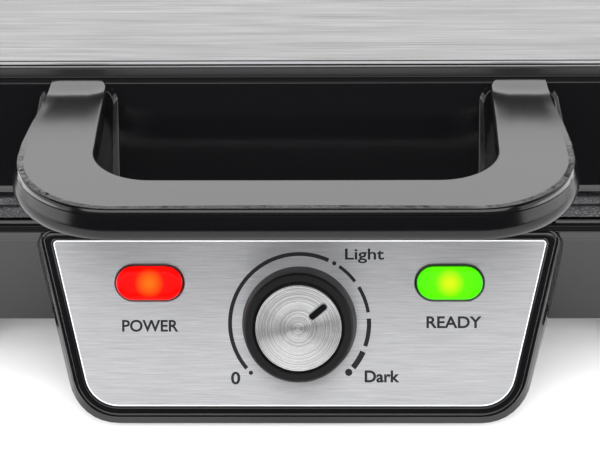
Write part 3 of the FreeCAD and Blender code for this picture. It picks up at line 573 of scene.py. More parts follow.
def add_plate_solid(mesh, outline, x0, x1, edge=0.5, bore=0.0):
    """A flat piece across X from a YZ outline, its edges slightly rounded, with a bore at the hinge."""
    middle_y = sum(point[0] for point in outline) / len(outline)
    middle_z = sum(point[1] for point in outline) / len(outline)
    rings = []
    for x, inset in ((x0, edge), (x0 + edge * 0.3, edge * 0.3), (x0 + edge, 0.0),
                     (x1 - edge, 0.0), (x1 - edge * 0.3, edge * 0.3), (x1, edge)):
        ring = []
        for y, z in outline:
            away = Vector((y - middle_y, z - middle_z))
            pull = away.normalized() * inset
            ring.append(Vector((x, y - pull.x, z - pull.y)))
        rings.append(ring)
    if not bore:
        mesh.solid(rings)
        return
    mesh.rings(rings)
    hole = [Vector((0.0, y, z)) for y, z in arc_points((Y_HINGE, Z_HINGE), bore, 0, 345, 23)]
    ends = [[point + Vector((x, 0, 0)) for point in hole] for x in (x0, x1)]
    mesh.rings(ends)
    for ring, end in ((rings[0], ends[0]), (rings[-1], ends[1])):
        mesh.fill([[point.copy() for point in ring], end])


def add_lid_lug(shell, side):
    """Hinge lug: an arm from the lid's rear wall to a barrel round the pin."""
    outline = [(Y_REAR - 2.0, Z_FACE - 0.5), (Y_HINGE - 6.4, Z_HINGE + 2.9)]
    outline += arc_points((Y_HINGE, Z_HINGE), BARREL, 160, 400, 24)
    outline += [(Y_REAR - 0.8, Z_FACE + 12.0), (Y_REAR - 4.0, Z_FACE + 11.0)]
    x0 = side * LUG_CENTRE - LUG_WIDTH / 2.0
    add_plate_solid(shell, outline, x0, x0 + LUG_WIDTH, bore=PIN_RADIUS + 0.15)


def seam_marks(profile, size):
    """Material marks for the rings of the sheet's edge: the groove under its bead and a flat strip on its top
    are painted near-black, as painted shade.
    """
    marks = []
    for low, high in zip(profile, profile[1:]):
        # faces painted with shade: the groove under the bead, and a flat strip on the top
        groove = min(low.x, high.x) > PANEL_INSET + 0.14 and -0.4 < low.y - Z_BAND < 0.0
        fold = low.x > PANEL_INSET + 0.4 and high.x < PANEL_INSET + 1.28
        marks += [2 if groove or fold else 1] * size
    return marks


CROWN_STEPS = 14
CROWN_REACH = 92.0      # from the edge to the flat middle


def make_lid_panel():
    """Crowned steel sheet with a rolled, beaded edge, and two thin lines of painted shade along that edge."""
    top = Z_BAND + 1.2
    edge = PANEL_INSET
    profile = rounded([
        (edge + 2.0, Z_BAND - 1.0, 0.0), (edge + 0.3, Z_BAND - 1.0, 0.1), (edge, Z_BAND - 0.85, 0.12),
        (edge, Z_BAND - 0.45, 0.1), (edge + 0.15, Z_BAND - 0.37, 0.0), (edge + 0.15, Z_BAND + 0.15, 0.0),
        (edge, Z_BAND + 0.23, 0.1), (edge, top - 0.3, 0.4), (edge + 0.45, top - 0.3, 0.05),
        (edge + 1.25, top - 0.28, 0.0), (edge + 1.3, top - 0.2, 0.0)], 4, closed=False)
    sheet = Mesh()
    sheet.rings([body_ring(inset, z) for inset, z in profile], mark=1)
    # the edge's groove and a flat strip on its top take the painted shade colour
    sheet.marks = seam_marks(profile, len(sheet.faces) // (len(profile) - 1))
    # the crown: rings that shrink towards a flat middle
    rings = []
    foot = top - 0.2
    inner = profile[-1][0]
    for step in range(CROWN_STEPS + 1):
        share = step / CROWN_STEPS
        shrink = share * CROWN_REACH
        rise = (Z_CROWN - foot) * math.sin(share * math.pi / 2.0)
        radius = max(1.0, CORNER_RADIUS - 0.5 * inner - shrink * 0.17)
        rings.append(body_ring(inner + shrink, foot + rise, radius))
    first = sheet.rings(rings)
    size = len(rings[0])
    sheet.cap(first + size * CROWN_STEPS, size)
    piece = sheet.build("lid_panel_sheet", [TOP_STEEL, RIM_STEEL, SEAM_STEEL])
    steel_map(piece)
    return finish(piece, "lid", ["lid_panel"], 50.0)


# ---------------------------------------------------------------- handle

HANDLE_PIVOT_Y = Y_FRONT + FACE_INSET
HANDLE_TOP = Z_SHOULDER + 0.95
HANDLE_THICK = 9.2
HANDLE_FRONT = corners("handle_cover")[0].y + 1.5
HANDLE_PARTING = 2.0    # below the top
ROOT_INNER = 57.0
ROOT_OUTER = 75.0
HANDLE_OUTER = 80.0
OUTER_CORNER = 30.0
INNER_CORNER = 17.0
HANDLE_BAR = 17.5
ROOT_FALL = 0.18        # slope of the root's first millimetres
ROOT_RUN = 6.4
ROOT_EASE = 1.1
NECK_FALL = 0.012       # slope all along
LEG_FALL = 0.058        # slope added on the leg and bar
LEG_START = 21.5
LEG_EASE = 5.5


def edge_line(points, count):
    """Evenly spaced points along a polyline."""
    lengths = [0.0]
    for index in range(1, len(points)):
        lengths.append(lengths[-1] + (points[index] - points[index - 1]).length)
    result = []
    for step in range(count + 1):
        target = lengths[-1] * step / count
        reached = (i for i in range(1, len(lengths)) if lengths[i] >= target - 1e-9)
        index = next(reached, len(lengths) - 1)
        span = lengths[index] - lengths[index - 1]
        share = (target - lengths[index - 1]) / span if span else 0.0
        result.append(points[index - 1].lerp(points[index], share))
    return result


def quarter(x, y, radius, count=22):
    """A quarter turn from facing left to facing front."""
    turns = [math.pi / 2.0 * step / count for step in range(count + 1)]
    return [Vector((x - radius * math.cos(turn), y - radius * math.sin(turn))) for turn in turns]


def handle_edges():
    """Matching points on the inner and outer edges of the level U, from the left root to the right."""
    root = HANDLE_PIVOT_Y + 0.5
    front = HANDLE_FRONT
    bend = front + OUTER_CORNER
    side = [Vector((-ROOT_OUTER, root)), Vector((-ROOT_OUTER - 1.2, root - 15.0)),
            Vector((-HANDLE_OUTER + 1.8, root - 27.0)), Vector((-HANDLE_OUTER + 0.3, root - 39.0)),
            Vector((-HANDLE_OUTER, bend))]
    outer = edge_line(side, 26)[:-1] + quarter(-HANDLE_OUTER + OUTER_CORNER, bend, OUTER_CORNER)
    turn = front + HANDLE_BAR + INNER_CORNER
    leg = edge_line([Vector((-ROOT_INNER, root)), Vector((-ROOT_INNER, turn))], 26)
    inner = leg[:-1] + quarter(-ROOT_INNER + INNER_CORNER, turn, INNER_CORNER)
    outer += edge_line([outer[-1], Vector((0.0, front))], 26)[1:]
    inner += edge_line([inner[-1], Vector((0.0, front + HANDLE_BAR))], 26)[1:]
    outer += [Vector((-point.x, point.y)) for point in outer[-2::-1]]
    inner += [Vector((-point.x, point.y)) for point in inner[-2::-1]]
    return inner, outer


def eased(reach, start, ease):
    """Distance past a start, rounded where it begins."""
    return ease * math.log(1.0 + math.exp((reach - start) / ease))


def drooped(x, y, depth, from_edge):
    """A handle point below the top: the root falls away, the neck is level and the leg falls to the bar."""
    reach = max(0.0, HANDLE_PIVOT_Y - y)
    fall = ROOT_FALL * (reach - eased(reach, ROOT_RUN, ROOT_EASE))
    fall += LEG_FALL * eased(reach, LEG_START, LEG_EASE)
    fall += NECK_FALL * reach
    straight = reach * 0.06
    edge = (1.0 - min(1.0, from_edge / 5.0)) ** 2
    near_root = math.exp(-((reach - 12.0) / 9.0) ** 2)
    fall += (straight - fall) * 0.7 * edge * near_root
    return Vector((x, y, HANDLE_TOP - depth - fall))


def make_handle_half(name, inner_edge, top_insets, outer_edge, node, material):
    """Sweeps a section of (inset from an edge, depth below the top) points along the U."""
    inner, outer = handle_edges()
    count = len(inner)
    rings = []
    for index in range(count):
        across = outer[index] - inner[index]
        width = across.length
        across.normalize()
        # the root end is rounded in plan
        steps_in = min(index, count - 1 - index)
        tuck = (1.2, 0.25)[steps_in] if steps_in < 2 else 0.0
        ring = []
        section = [(inset + tuck, depth, inset) for inset, depth in inner_edge]
        section += [(inset, inner_edge[-1][1], inset) for inset in top_insets]
        section += [(width - inset, outer_edge[0][1], inset) for inset in reversed(top_insets)]
        section += [(width - inset - tuck * 0.5, depth, inset) for inset, depth in outer_edge]
        for reach, depth, from_edge in section:
            here = inner[index] + across * reach
            ring.append(drooped(here.x, here.y, depth, from_edge))
        rings.append(ring)
    mesh = Mesh()
    mesh.solid(rings)
    return finish(mesh.build(name, [material]), "lid", [node], 50.0)


def fillet(inset, depth, radius, start, end, steps=6):
    """Arc of a section edge from normal angle start to end, in degrees from straight up."""
    points = []
    for step in range(steps + 1):
        angle = math.radians(start + (end - start) * step / steps)
        points.append((inset - radius * math.sin(angle), depth + radius * (1.0 - math.cos(angle))))
    return points


def make_handle():
    parting = HANDLE_PARTING
    cover_inner = [(0.7, parting - 0.05), (0.1, parting - 0.1), (0.0, parting - 0.35)]
    cover_inner += fillet(0.7, 0.0, 0.7, 90.0, 0.0)
    cover_outer = fillet(3.4, 0.0, 2.1, 0.0, 66.0, 9)
    cover_outer += [(1.2, parting - 0.12), (1.3, parting - 0.05), (1.8, parting - 0.05)]
    make_handle_half("handle_cover_moulding", cover_inner, (1.6, 3.6, 5.0, 7.0), cover_outer,
                     "handle_cover", HANDLE_GLOSS)
    thick = HANDLE_THICK
    base_inner = [(1.8, thick), (0.7, thick - 0.5), (0.15, thick - 1.4), (0.0, parting + 0.5),
                  (0.12, parting + 0.18), (0.8, parting + 0.15)]
    base_outer = [(1.8, parting + 0.15), (1.32, parting + 0.16), (1.23, parting + 0.26)]
    radius = 4.4
    tilt = math.radians(22.0)
    for step in range(11):
        angle = tilt - math.radians(60.0) * step / 10.0
        base_outer.append((radius * (1.0 - math.cos(angle)),
                           parting + 2.75 + radius * (math.sin(tilt) - math.sin(angle))))
    base_outer += [(1.9, thick - 0.02), (3.0, thick)]
    make_handle_half("handle_base_moulding", base_inner, (), base_outer, "handle_base", HANDLE_SATIN)


# ---------------------------------------------------------------- base

def make_base_shell():
    """Swept tub wall with a ledge and a raised rim round the lower plate."""
    rim = Z_LEDGE + 2.5
    profile = rounded([
        (TUB_INSET + WALL, Z_TUB, 0.3),
        (TUB_INSET, Z_TUB, 0.6),
        (0.35, Z_LEDGE - 3.3, 1.5),
        (0.0, Z_LEDGE - 2.8, 1.0),
        (0.0, Z_LEDGE, 0.45),
        (3.0, Z_LEDGE, 0.3),
        (3.0, rim, 0.5),
        (3.0 + WALL, rim, 0.5),
        (3.0 + WALL, Z_LEDGE, 0.3),
        (LEDGE_WIDTH, Z_LEDGE, 0.3),
        (LEDGE_WIDTH, Z_LEDGE - WALL, 0.3),
        (WALL, Z_LEDGE - WALL, 0.3),
    ], 4)
    shell = Mesh()
    shell.rings([body_ring(inset, z) for inset, z in profile], along=True)
    for side in (-1, 1):
        for start in (-LUG_WIDTH / 2.0 - 6.3, LUG_WIDTH / 2.0 + 0.3):
            outline = [(Y_REAR - 8.5, Z_HINGE - 26.0), (Y_HINGE + BARREL - 0.1, Z_HINGE - 5.0)]
            outline += arc_points((Y_HINGE, Z_HINGE), BARREL, -20, 200, 22)
            outline += [(Y_REAR - 0.5, Z_LEDGE - 0.5), (Y_REAR - 3.0, Z_LEDGE - 3.0)]
            x0 = side * LUG_CENTRE + start
            add_plate_solid(shell, outline, x0, x0 + 6.0)
    return finish(shell.build("base_shell_moulding", [GLOSS]), "base", ["base_shell"])


# ---------------------------------------------------------------- control pod and fascia

FASCIA_TOP = 25.3
FASCIA_HALF_TOP = 75.0
SIDE_SLOPE = 0.23
FASCIA_CORNER = 10.5
POD_REAR_Y = Y_FRONT + TUB_INSET + 0.5
POD_FLOOR = corners("control_pod")[0].z


def fascia_outline(grow, below=3.2):
    """The fascia's outline in its own plane, grown by a margin, but not more than below at its foot."""
    top = FASCIA_TOP + min(grow, 2.7)
    bottom = -FASCIA_TOP - min(grow, below)
    side = grow / math.cos(math.atan(SIDE_SLOPE))
    half_top = FASCIA_HALF_TOP + SIDE_SLOPE * (top - FASCIA_TOP) + side
    half_bottom = FASCIA_HALF_TOP - SIDE_SLOPE * (FASCIA_TOP - bottom) + side
    corner = FASCIA_CORNER + grow
    top_corner = 1.2 + max(0.0, grow) * 0.5
    return rounded([
        (-half_bottom, bottom, corner), (half_bottom, bottom, corner),
        (half_top, top, top_corner), (-half_top, top, top_corner)], 8)


def make_control_pod():
    """Casing lofted from its tilted frame to the tub, with a stepped frame and flared sides."""
    rings = []
    for grow, out in ((0.15, -1.0), (0.15, 0.25), (0.4, 0.55), (0.6, 0.6), (2.0, 0.6), (2.2, 0.5),
                      (2.35, 0.1), (2.5, 0.0), (3.2, -0.05), (3.5, -0.25), (3.65, -0.7)):
        rings.append(fascia_ring(fascia_outline(grow), out))
    for grow, below, out in ((3.85, 3.5, -0.9), (4.1, 3.9, -1.3), (5.0, 6.0, -3.6), (5.3, 6.4, -4.4)):
        ring = []
        for point in fascia_outline(grow, below=below):
            # the chin under the frame is upright, and the sides flare
            share = min(1.0, max(0.0, (point.y + 31.3) / 14.0))
            chin = -0.9 - 0.45 * max(0.0, -28.6 - point.y)
            ring.append(on_fascia(point.x, point.y, out * share + chin * (1.0 - share)))
        rings.append(ring)
    front_ring = fascia_ring(fascia_outline(5.5, below=6.6), -6.0)
    rear = rounded([(-74.0, POD_FLOOR, 8.0), (74.0, POD_FLOOR, 8.0),
                    (84.0, Z_LEDGE, 1.5), (-84.0, Z_LEDGE, 1.5)], 8)
    rear_ring = [Vector((point.x, POD_REAR_Y, point.y)) for point in rear]
    for step in range(9):
        share = step / 8.0
        rings.append([front.lerp(back, share) for front, back in zip(front_ring, rear_ring)])
    for ring in rings:
        for point in ring:
            point.z = max(point.z, POD_FLOOR)
    pod = Mesh()
    pod.solid(rings)
    return finish(pod.build("control_pod_moulding", [GLOSS]), "base", ["control_pod"])


def flat_plate(name, outlines, thickness, bevel, material, front):
    """A flat plate in the fascia's plane: the first outline is its edge, the others are holes."""
    data = bpy.data.curves.new(name, "CURVE")
    data.dimensions = "2D"
    data.fill_mode = "BOTH"
    data.extrude = (thickness / 2.0 - bevel) * MM
    data.bevel_depth = bevel * MM
    data.bevel_resolution = 2
    data.offset = -bevel * MM
    for outline in outlines:
        spline = data.splines.new("POLY")
        spline.points.add(len(outline) - 1)
        for slot, point in zip(spline.points, outline):
            slot.co = (point.x * MM, point.y * MM, 0.0, 1.0)
        spline.use_cyclic_u = True
    mesh = curve_mesh(name, data, material)
    turn = Matrix((Vector((1, 0, 0)), FASCIA_UP, FASCIA_OUT)).transposed().to_4x4()
    mesh.transform(Matrix.Translation(on_fascia(0, 0, front - thickness / 2.0) * MM) @ turn)
    return place_object(name, mesh)


def circle(radius, steps=48, x=0.0, y=0.0):
    turns = [2 * math.pi * step / steps for step in range(steps)]
    return [Vector((x + radius * math.cos(turn), y + radius * math.sin(turn))) for turn in turns]


LENS_ACROSS = 45.4
LENS_UP = 12.3
LENS_LENGTH = 20.4
LENS_HEIGHT = 10.6


def stadium(length, height, x=0.0, y=0.0, steps=12):
    """Outline with two round ends."""
    radius = height / 2.0
    flat = length / 2.0 - radius
    points = []
    for side in (1, -1):
        for step in range(steps + 1):
            angle = -math.pi / 2.0 + math.pi * step / steps
            across = flat + radius * math.cos(angle)
            points.append(Vector((x + side * across, y + side * radius * math.sin(angle))))
    return points


def make_control_fascia():
    outlines = [fascia_outline(-0.05), circle(5.0)]
    for side in (-1, 1):
        outlines.append(stadium(LENS_LENGTH + 0.3, LENS_HEIGHT + 0.3, side * LENS_ACROSS, LENS_UP))
    piece = flat_plate("control_fascia_sheet", outlines, 1.0, 0.42, FASCIA_STEEL, 0.0)
    piece.data.materials.append(EDGE_STEEL)
    for face in piece.data.polygons:
        spot = face.center / MM - FASCIA_CENTRE
        by_lens = (abs(abs(spot.x) - LENS_ACROSS) < LENS_LENGTH / 2.0 + 1.0
                   and abs(spot.dot(FASCIA_UP) - LENS_UP) < LENS_HEIGHT / 2.0 + 1.0)
        if face.normal.dot(FASCIA_OUT) < 0.98 and not by_lens:
            face.material_index = 1
    steel_map(piece)
    return finish(piece, "base", ["control_fascia"], 30.0)


def make_lens(lamp, side, dye, glow, strength, rim):
    """Domed lamp window with a rounded shoulder."""
    rings = []
    for inset, out in ((0.0, -3.0), (0.0, 0.75), (0.1, 1.05), (0.35, 1.25), (0.6, 1.33), (1.0, 1.5),
                       (1.7, 1.66), (2.6, 1.76)):
        outline = stadium(LENS_LENGTH - 2 * inset, LENS_HEIGHT - 2 * inset, side * LENS_ACROSS, LENS_UP)
        rings.append(fascia_ring(outline, out))
    lens = Mesh()
    size = len(rings[0])
    back = lens.rings(rings[:4], mark=1)
    dome = lens.rings(rings[3:])
    lens.cap(back, size)
    lens.cap(dome + size * (len(rings) - 4), size)
    lit = lit_acrylic(dye + " acrylic, lit", on_fascia(side * LENS_ACROSS, LENS_UP, 1.7), *glow, strength)
    unlit = plain(dye + " acrylic, unlit rim", rim, 0.15, grain=400.0, depth=0.02)
    finish(lens.build(lamp + "_lens_window", [lit, unlit]), "base", [lamp + "_lens"], 60.0)


def make_lenses():
    make_lens("power", -1, "red", ("#f00000", "#ff0a00", "#ff7a08"), 0.9, "#6a0000")
    make_lens("ready", 1, "green", ("#2c9c00", "#4cb800", "#e6e810"), 0.85, "#0f3c00")


# ---------------------------------------------------------------- knob and dial print

KNOB_RADIUS = 17.35
KNOB_TOP = 16.0
CAP_RADIUS = 12.8
CAP_TOP = 16.7
RING_PITCH = 0.32
RING_DEPTH = 0.018
POINTER_TURN = math.radians(40.0)
ORIGIN = Vector((0, 0, 0))
SIDE = Vector((1, 0, 0))
DEEP = Vector((0, 1, 0))
UPWARDS = Vector((0, 0, 1))


def make_knob_body():
    """Plain drum with a rounded rim and a recess for its cap."""
    profile = rounded([
        (CAP_RADIUS + 0.5, KNOB_TOP - 1.6, 0.0), (CAP_RADIUS + 0.6, KNOB_TOP - 0.4, 0.3),
        (CAP_RADIUS + 1.1, KNOB_TOP, 0.3), (KNOB_RADIUS - 1.5, KNOB_TOP, 0.5),
        (KNOB_RADIUS - 1.0, KNOB_TOP - 1.0, 0.7), (KNOB_RADIUS, 0.9, 0.3),
        (KNOB_RADIUS, 0.5, 0.2), (KNOB_RADIUS - 3.5, 0.5, 0.0)], 5, closed=False)
    body = Mesh()
    body.lathe([(0.0, KNOB_TOP - 1.6), *profile, (0.0, 0.5)], FASCIA_CENTRE, FASCIA_OUT, SIDE, 128)
    finish(body.build("knob_body_moulding", [SATIN]), "knob", ["knob_body"], 40.0)


def make_knob_cap():
    """Disc with turned rings, and a UV map whose u is the turn and v the radius."""
    face = [(CAP_RADIUS, KNOB_TOP - 1.5), (CAP_RADIUS, CAP_TOP - 0.35), (CAP_RADIUS - 0.12, CAP_TOP - 0.1),
            (CAP_RADIUS - 0.4, CAP_TOP)]
    radius = CAP_RADIUS - 0.8
    ring = 0
    while radius > 0.3:
        face.append((radius, CAP_TOP - RING_DEPTH * (ring % 2)))
        radius -= RING_PITCH
        ring += 1
    cap = Mesh()
    cap.lathe([(0.0, KNOB_TOP - 1.5), *face, (0.0, CAP_TOP - 0.05)], FASCIA_CENTRE, FASCIA_OUT, SIDE, 96)
    piece = cap.build("knob_cap_disc", [TURNED])
    layer = piece.data.uv_layers.new(name=TURN_MAP)
    full = 2.0 * math.pi
    for part in piece.data.polygons:
        middle = part.center / MM - FASCIA_CENTRE
        middle_turn = math.atan2(middle.dot(FASCIA_UP), middle.dot(SIDE))
        for loop in part.loop_indices:
            spot = piece.data.vertices[piece.data.loops[loop].vertex_index].co / MM - FASCIA_CENTRE
            across = spot.dot(SIDE)
            up = spot.dot(FASCIA_UP)
            # a face that crosses the seam keeps its corners on one side of it
            turn = math.atan2(up, across)
            turn -= full * round((turn - middle_turn) / full)
            layer.data[loop].uv = (turn / full, math.hypot(across, up) * MM)
    finish(piece, "knob", ["knob_cap"], 40.0)


def make_knob_pointer():
    """Black inlay with round ends and a thin bright rim."""
    rings = []
    for grow, out in ((0.45, 0.0), (0.3, 0.12), (0.1, 0.06), (0.0, 0.02)):
        outline = stadium(6.0 + 2 * grow, 1.75 + 2 * grow, 7.6)
        rings.append(fascia_ring([turned(point.x, point.y, POINTER_TURN) for point in outline], CAP_TOP + out))
    pointer = Mesh()
    pointer.rings(rings[:3], mark=1)
    first = pointer.rings(rings[2:])
    pointer.cap(first + len(rings[0]), len(rings[0]))
    finish(pointer.build("knob_pointer_inlay", [GLOSS, PIN_STEEL]), "knob", ["knob_pointer"])


DIAL_RADIUS = 21.05
INK_LIFT = 0.04
# start and end in degrees, and width: the arc swells towards dark
DIAL_BANDS = ((220.5, 65.3, 1.2), (55.1, 37.1, 1.0), (31.6, 9.1, 1.07), (4.0, -19.2, 1.3), (-24.1, -39.7, 1.75))
# angle and radius
DIAL_DOTS = ((225.5, 0.65), (60.0, 0.65), (-45.0, 1.1))
# word, across, up, height of its capitals, width and added weight
WORDS = (("POWER", -45.25, -2.4, 3.5, 17.1, 0.022), ("READY", 46.75, -1.35, 3.5, 16.7, 0.022),
         ("Light", 19.7, 19.4, 3.3, 11.8, 0.016), ("Dark", 25.0, -17.8, 3.5, 10.6, 0.03),
         ("0", -19.4, -18.4, 3.7, 2.8, 0.025))


def dial_arc(start, end, radius):
    """Points on an arc about the knob, angles in degrees."""
    steps = max(4, int(abs(end - start) / 3.0))
    turns = [math.radians(start + (end - start) * step / steps) for step in range(steps + 1)]
    return [Vector((math.cos(turn), math.sin(turn))) * radius for turn in turns]


def make_dial_print():
    marks = Mesh()
    for start, end, width in DIAL_BANDS:
        edges = [dial_arc(start, end, DIAL_RADIUS + half) for half in (width / 2.0, -width / 2.0)]
        marks.rings([fascia_ring(edge, INK_LIFT) for edge in edges], around=False)
    for angle, radius in DIAL_DOTS:
        turn = math.radians(angle)
        dot = circle(radius, 24, DIAL_RADIUS * math.cos(turn), DIAL_RADIUS * math.sin(turn))
        first = len(marks.points)
        marks.points += fascia_ring(dot, INK_LIFT)
        marks.cap(first, len(dot))
    piece = marks.build("dial_print", [INK])
    flip_outwards(piece)
    finish(piece, "base")
    for index, word in enumerate(WORDS):
        finish(printed_word(f"label_{index + 1}", *word), "base")


def flip_outwards(piece):
    """Turns the faces of flat print towards the viewer of the fascia."""
    if sum(face.normal.dot(FASCIA_OUT) * face.area for face in piece.data.polygons) < 0.0:
        piece.data.flip_normals()


def printed_word(name, word, x, up, cap_height, width, weight):
    """A short flat label, fitted to its height and width, lying just proud of the fascia."""
    data = bpy.data.curves.new(name, "FONT")
    data.body = word
    data.size = 1.0
    data.align_x = "CENTER"
    data.fill_mode = "FRONT"
    data.offset = weight
    mesh = curve_mesh(name, data, INK)
    xs = [vertex.co.x for vertex in mesh.vertices]
    ys = [vertex.co.y for vertex in mesh.vertices]
    scale_x = width / (max(xs) - min(xs))
    # a tail below the line doesn't count
    scale_y = cap_height / (max(ys) - max(0.0, min(ys)))
    middle = (max(xs) + min(xs)) / 2.0
    for vertex in mesh.vertices:
        flat_x = x + (vertex.co.x - middle) * scale_x
        flat_y = up + vertex.co.y * scale_y
        vertex.co = on_fascia(flat_x, flat_y, INK_LIFT) * MM
    mesh.update()
    piece = place_object(name, mesh)
    flip_outwards(piece)
    return piece


# ---------------------------------------------------------------- waffle plates and screws

PLATE_INSET = HALF_X - corners("lower_plate")[1].x
PLATE_WALL = 2.5
CAVITY = (118.0, 96.0)
CAVITY_PITCH = (128.0, 106.0)
CAVITY_DEPTH = 9.0
STUD_GRID = (5, 4)
STUD_BASE = 15.0
STUD_TOP = 12.0
STUD_HEIGHT = 5.5


def cavity_ring(centre, shrink, z, radius):
    half_x = CAVITY[0] / 2.0 - shrink
    half_y = CAVITY[1] / 2.0 - shrink
    outline = rectangle(-half_x, -half_y, half_x, half_y, radius, 6)
    return [Vector((centre[0] + point.x, centre[1] + point.y, z)) for point in outline]


def make_plate(name, node, body, face, facing, flange):
    """Cast plate: a flange with rounded edges and four drafted pans, closed on both sides."""
    plate = Mesh()
    edge = [(1.3, 0.0), (0.5, 0.12), (0.14, 0.45), (0.0, 1.0), (0.0, flange - 0.6), (0.18, flange - 0.15),
            (0.7, flange)]
    plate.rings([body_ring(PLATE_INSET + inset, face - facing * depth) for inset, depth in edge])
    centres = [(x * CAVITY_PITCH[0] / 2.0, Y_MID + y * CAVITY_PITCH[1] / 2.0)
               for x in (-1, 1) for y in (-1, 1)]
    front = [(-0.7, 0.0), (-0.2, 0.12), (0.1, 0.5), (1.7, CAVITY_DEPTH - 1.2), (2.2, CAVITY_DEPTH - 0.3),
             (3.4, CAVITY_DEPTH)]
    back = [(-PLATE_WALL, flange), (1.0 - PLATE_WALL, CAVITY_DEPTH + 1.0), (2.2, CAVITY_DEPTH + PLATE_WALL)]
    for shape, start in ((front, 1.3), (back, 0.7)):
        depth = shape[0][1]
        loops = [body_ring(PLATE_INSET + start, face - facing * depth)]
        for centre in centres:
            rings = [cavity_ring(centre, shrink, face - facing * level, 5.0) for shrink, level in shape]
            loops.append([point.copy() for point in rings[0]])
            first = plate.rings(rings)
            plate.cap(first + len(rings[0]) * (len(rings) - 1), len(rings[0]))
        plate.fill(loops)
    finish(plate.build(name, [CAST]), body, [node], 40.0)


def make_stud_field(name, body, face, facing):
    """Rounded studs, repeated on a grid in each pan."""
    rings = []
    sunk = 0.3              # the stud's foot is sunk in the pan's floor
    rise = STUD_HEIGHT + sunk
    for share, lower in ((-0.06, 0.0), (0.0, 0.3), (0.08, 0.75), (0.82, rise - 0.9), (0.95, rise - 0.3),
                         (1.15, rise - 0.03), (1.6, rise)):
        half = STUD_BASE / 2.0 + (STUD_TOP - STUD_BASE) / 2.0 * share
        rings.append(at_height(rectangle(-half, -half, half, half, 2.2, 4), lower - sunk))
    stud = Mesh()
    stud.solid(rings)
    piece = stud.build(name, [CAST])
    columns, rows = STUD_GRID
    pitch = (CAVITY[0] / columns, CAVITY[1] / rows)
    repeat_on_grids(piece, CAST, [
        (CAVITY_PITCH[0], CAVITY_PITCH[1], 2, 2),
        (pitch[0] * (columns - 1), pitch[1] * (rows - 1), columns, rows)])
    floor = face - facing * CAVITY_DEPTH
    turn = Matrix.Rotation(0.0 if facing > 0 else math.pi, 4, "Y")
    piece.data.transform(Matrix.Translation(Vector((0.0, Y_MID, floor)) * MM) @ turn)
    finish(piece, body, crease=40.0)


def repeat_on_grids(piece, material, grids):
    """Geometry Nodes: repeats a mesh on a grid, or on a grid at each point of the grid before it."""
    tree = bpy.data.node_groups.new(piece.name + "_grid", "GeometryNodeTree")
    tree.interface.new_socket("Geometry", in_out="OUTPUT", socket_type="NodeSocketGeometry")
    tree.interface.new_socket("Geometry", in_out="INPUT", socket_type="NodeSocketGeometry")
    values = {}
    labels = (("Span X", "Float"), ("Span Y", "Float"), ("Columns", "Int"), ("Rows", "Int"))
    for number, grid in enumerate(grids):
        for (label, kind), value in zip(labels, grid):
            socket = tree.interface.new_socket(
                f"{label} {number}", in_out="INPUT", socket_type="NodeSocket" + kind)
            values[socket.identifier] = value * MM if kind == "Float" else value
    given = add(tree, "NodeGroupInput").outputs
    points = None
    for number in range(len(grids)):
        grid = add(tree, "GeometryNodeMeshGrid", {
            "Size X": given[f"Span X {number}"], "Size Y": given[f"Span Y {number}"],
            "Vertices X": given[f"Columns {number}"], "Vertices Y": given[f"Rows {number}"]}).outputs["Mesh"]
        if points is not None:
            placed = add(tree, "GeometryNodeInstanceOnPoints", {"Points": points, "Instance": grid})
            solid = add(tree, "GeometryNodeRealizeInstances", {"Geometry": placed.outputs["Instances"]})
            grid = solid.outputs["Geometry"]
        points = grid
    placed = add(tree, "GeometryNodeInstanceOnPoints", {"Points": points, "Instance": given["Geometry"]})
    solid = add(tree, "GeometryNodeRealizeInstances", {"Geometry": placed.outputs["Instances"]})
    done = add(tree, "GeometryNodeSetMaterial", {"Geometry": solid.outputs["Geometry"], "Material": material})
    add(tree, "NodeGroupOutput", {"Geometry": done.outputs["Geometry"]})
    modifier = piece.modifiers.new("grid", "NODES")
    modifier.node_group = tree
    for identifier, value in values.items():
        modifier[identifier] = value
    result = mesh_of(piece)
    piece.modifiers.remove(modifier)
    piece.data = result


def make_bottom_screws():
    """Pan-head screws with cross recesses, one near each corner of the bottom cover."""
    head = 3.2
    top = 1.5
    low, high = corners("bottom_screws")
    screw = Mesh()
    rim = [(0.0, -3.0), (1.6, -3.0), (1.6, 0.0), (head, 0.0), (head, 0.5), (2.95, 1.05), (2.3, top)]
    screw.lathe(rim, ORIGIN, UPWARDS, SIDE, 24)
    arm, thin = 1.5, 0.32
    cross = [turned(x, y, quarter_turn * math.pi / 2.0)
             for quarter_turn in range(4) for x, y in ((arm, -thin), (arm, thin), (thin, thin))]
    mouth = at_height(cross, top)
    screw.fill([at_height(circle(2.3, 24), top), mouth])
    first = screw.rings([mouth, at_height([point * 0.8 for point in cross], 0.5)])
    screw.cap(first + len(cross), len(cross))
    piece = screw.build("bottom_cover_screws", [ZINC_STEEL])
    repeat_on_grids(piece, ZINC_STEEL, [(high.x - low.x - 2 * head, high.y - low.y - 2 * head, 2, 2)])
    flip = Matrix.Rotation(math.pi, 4, "X")
    middle = Vector((0.0, (low.y + high.y) / 2.0, low.z + top))
    piece.data.transform(Matrix.Translation(middle * MM) @ flip)
    finish(piece, "base", ["bottom_screws"], 30.0)


# ---------------------------------------------------------------- underside and rear

SLOT_LENGTH = 50.0
SLOT_WIDTH = 3.0
SLOT_PITCH = 8.0


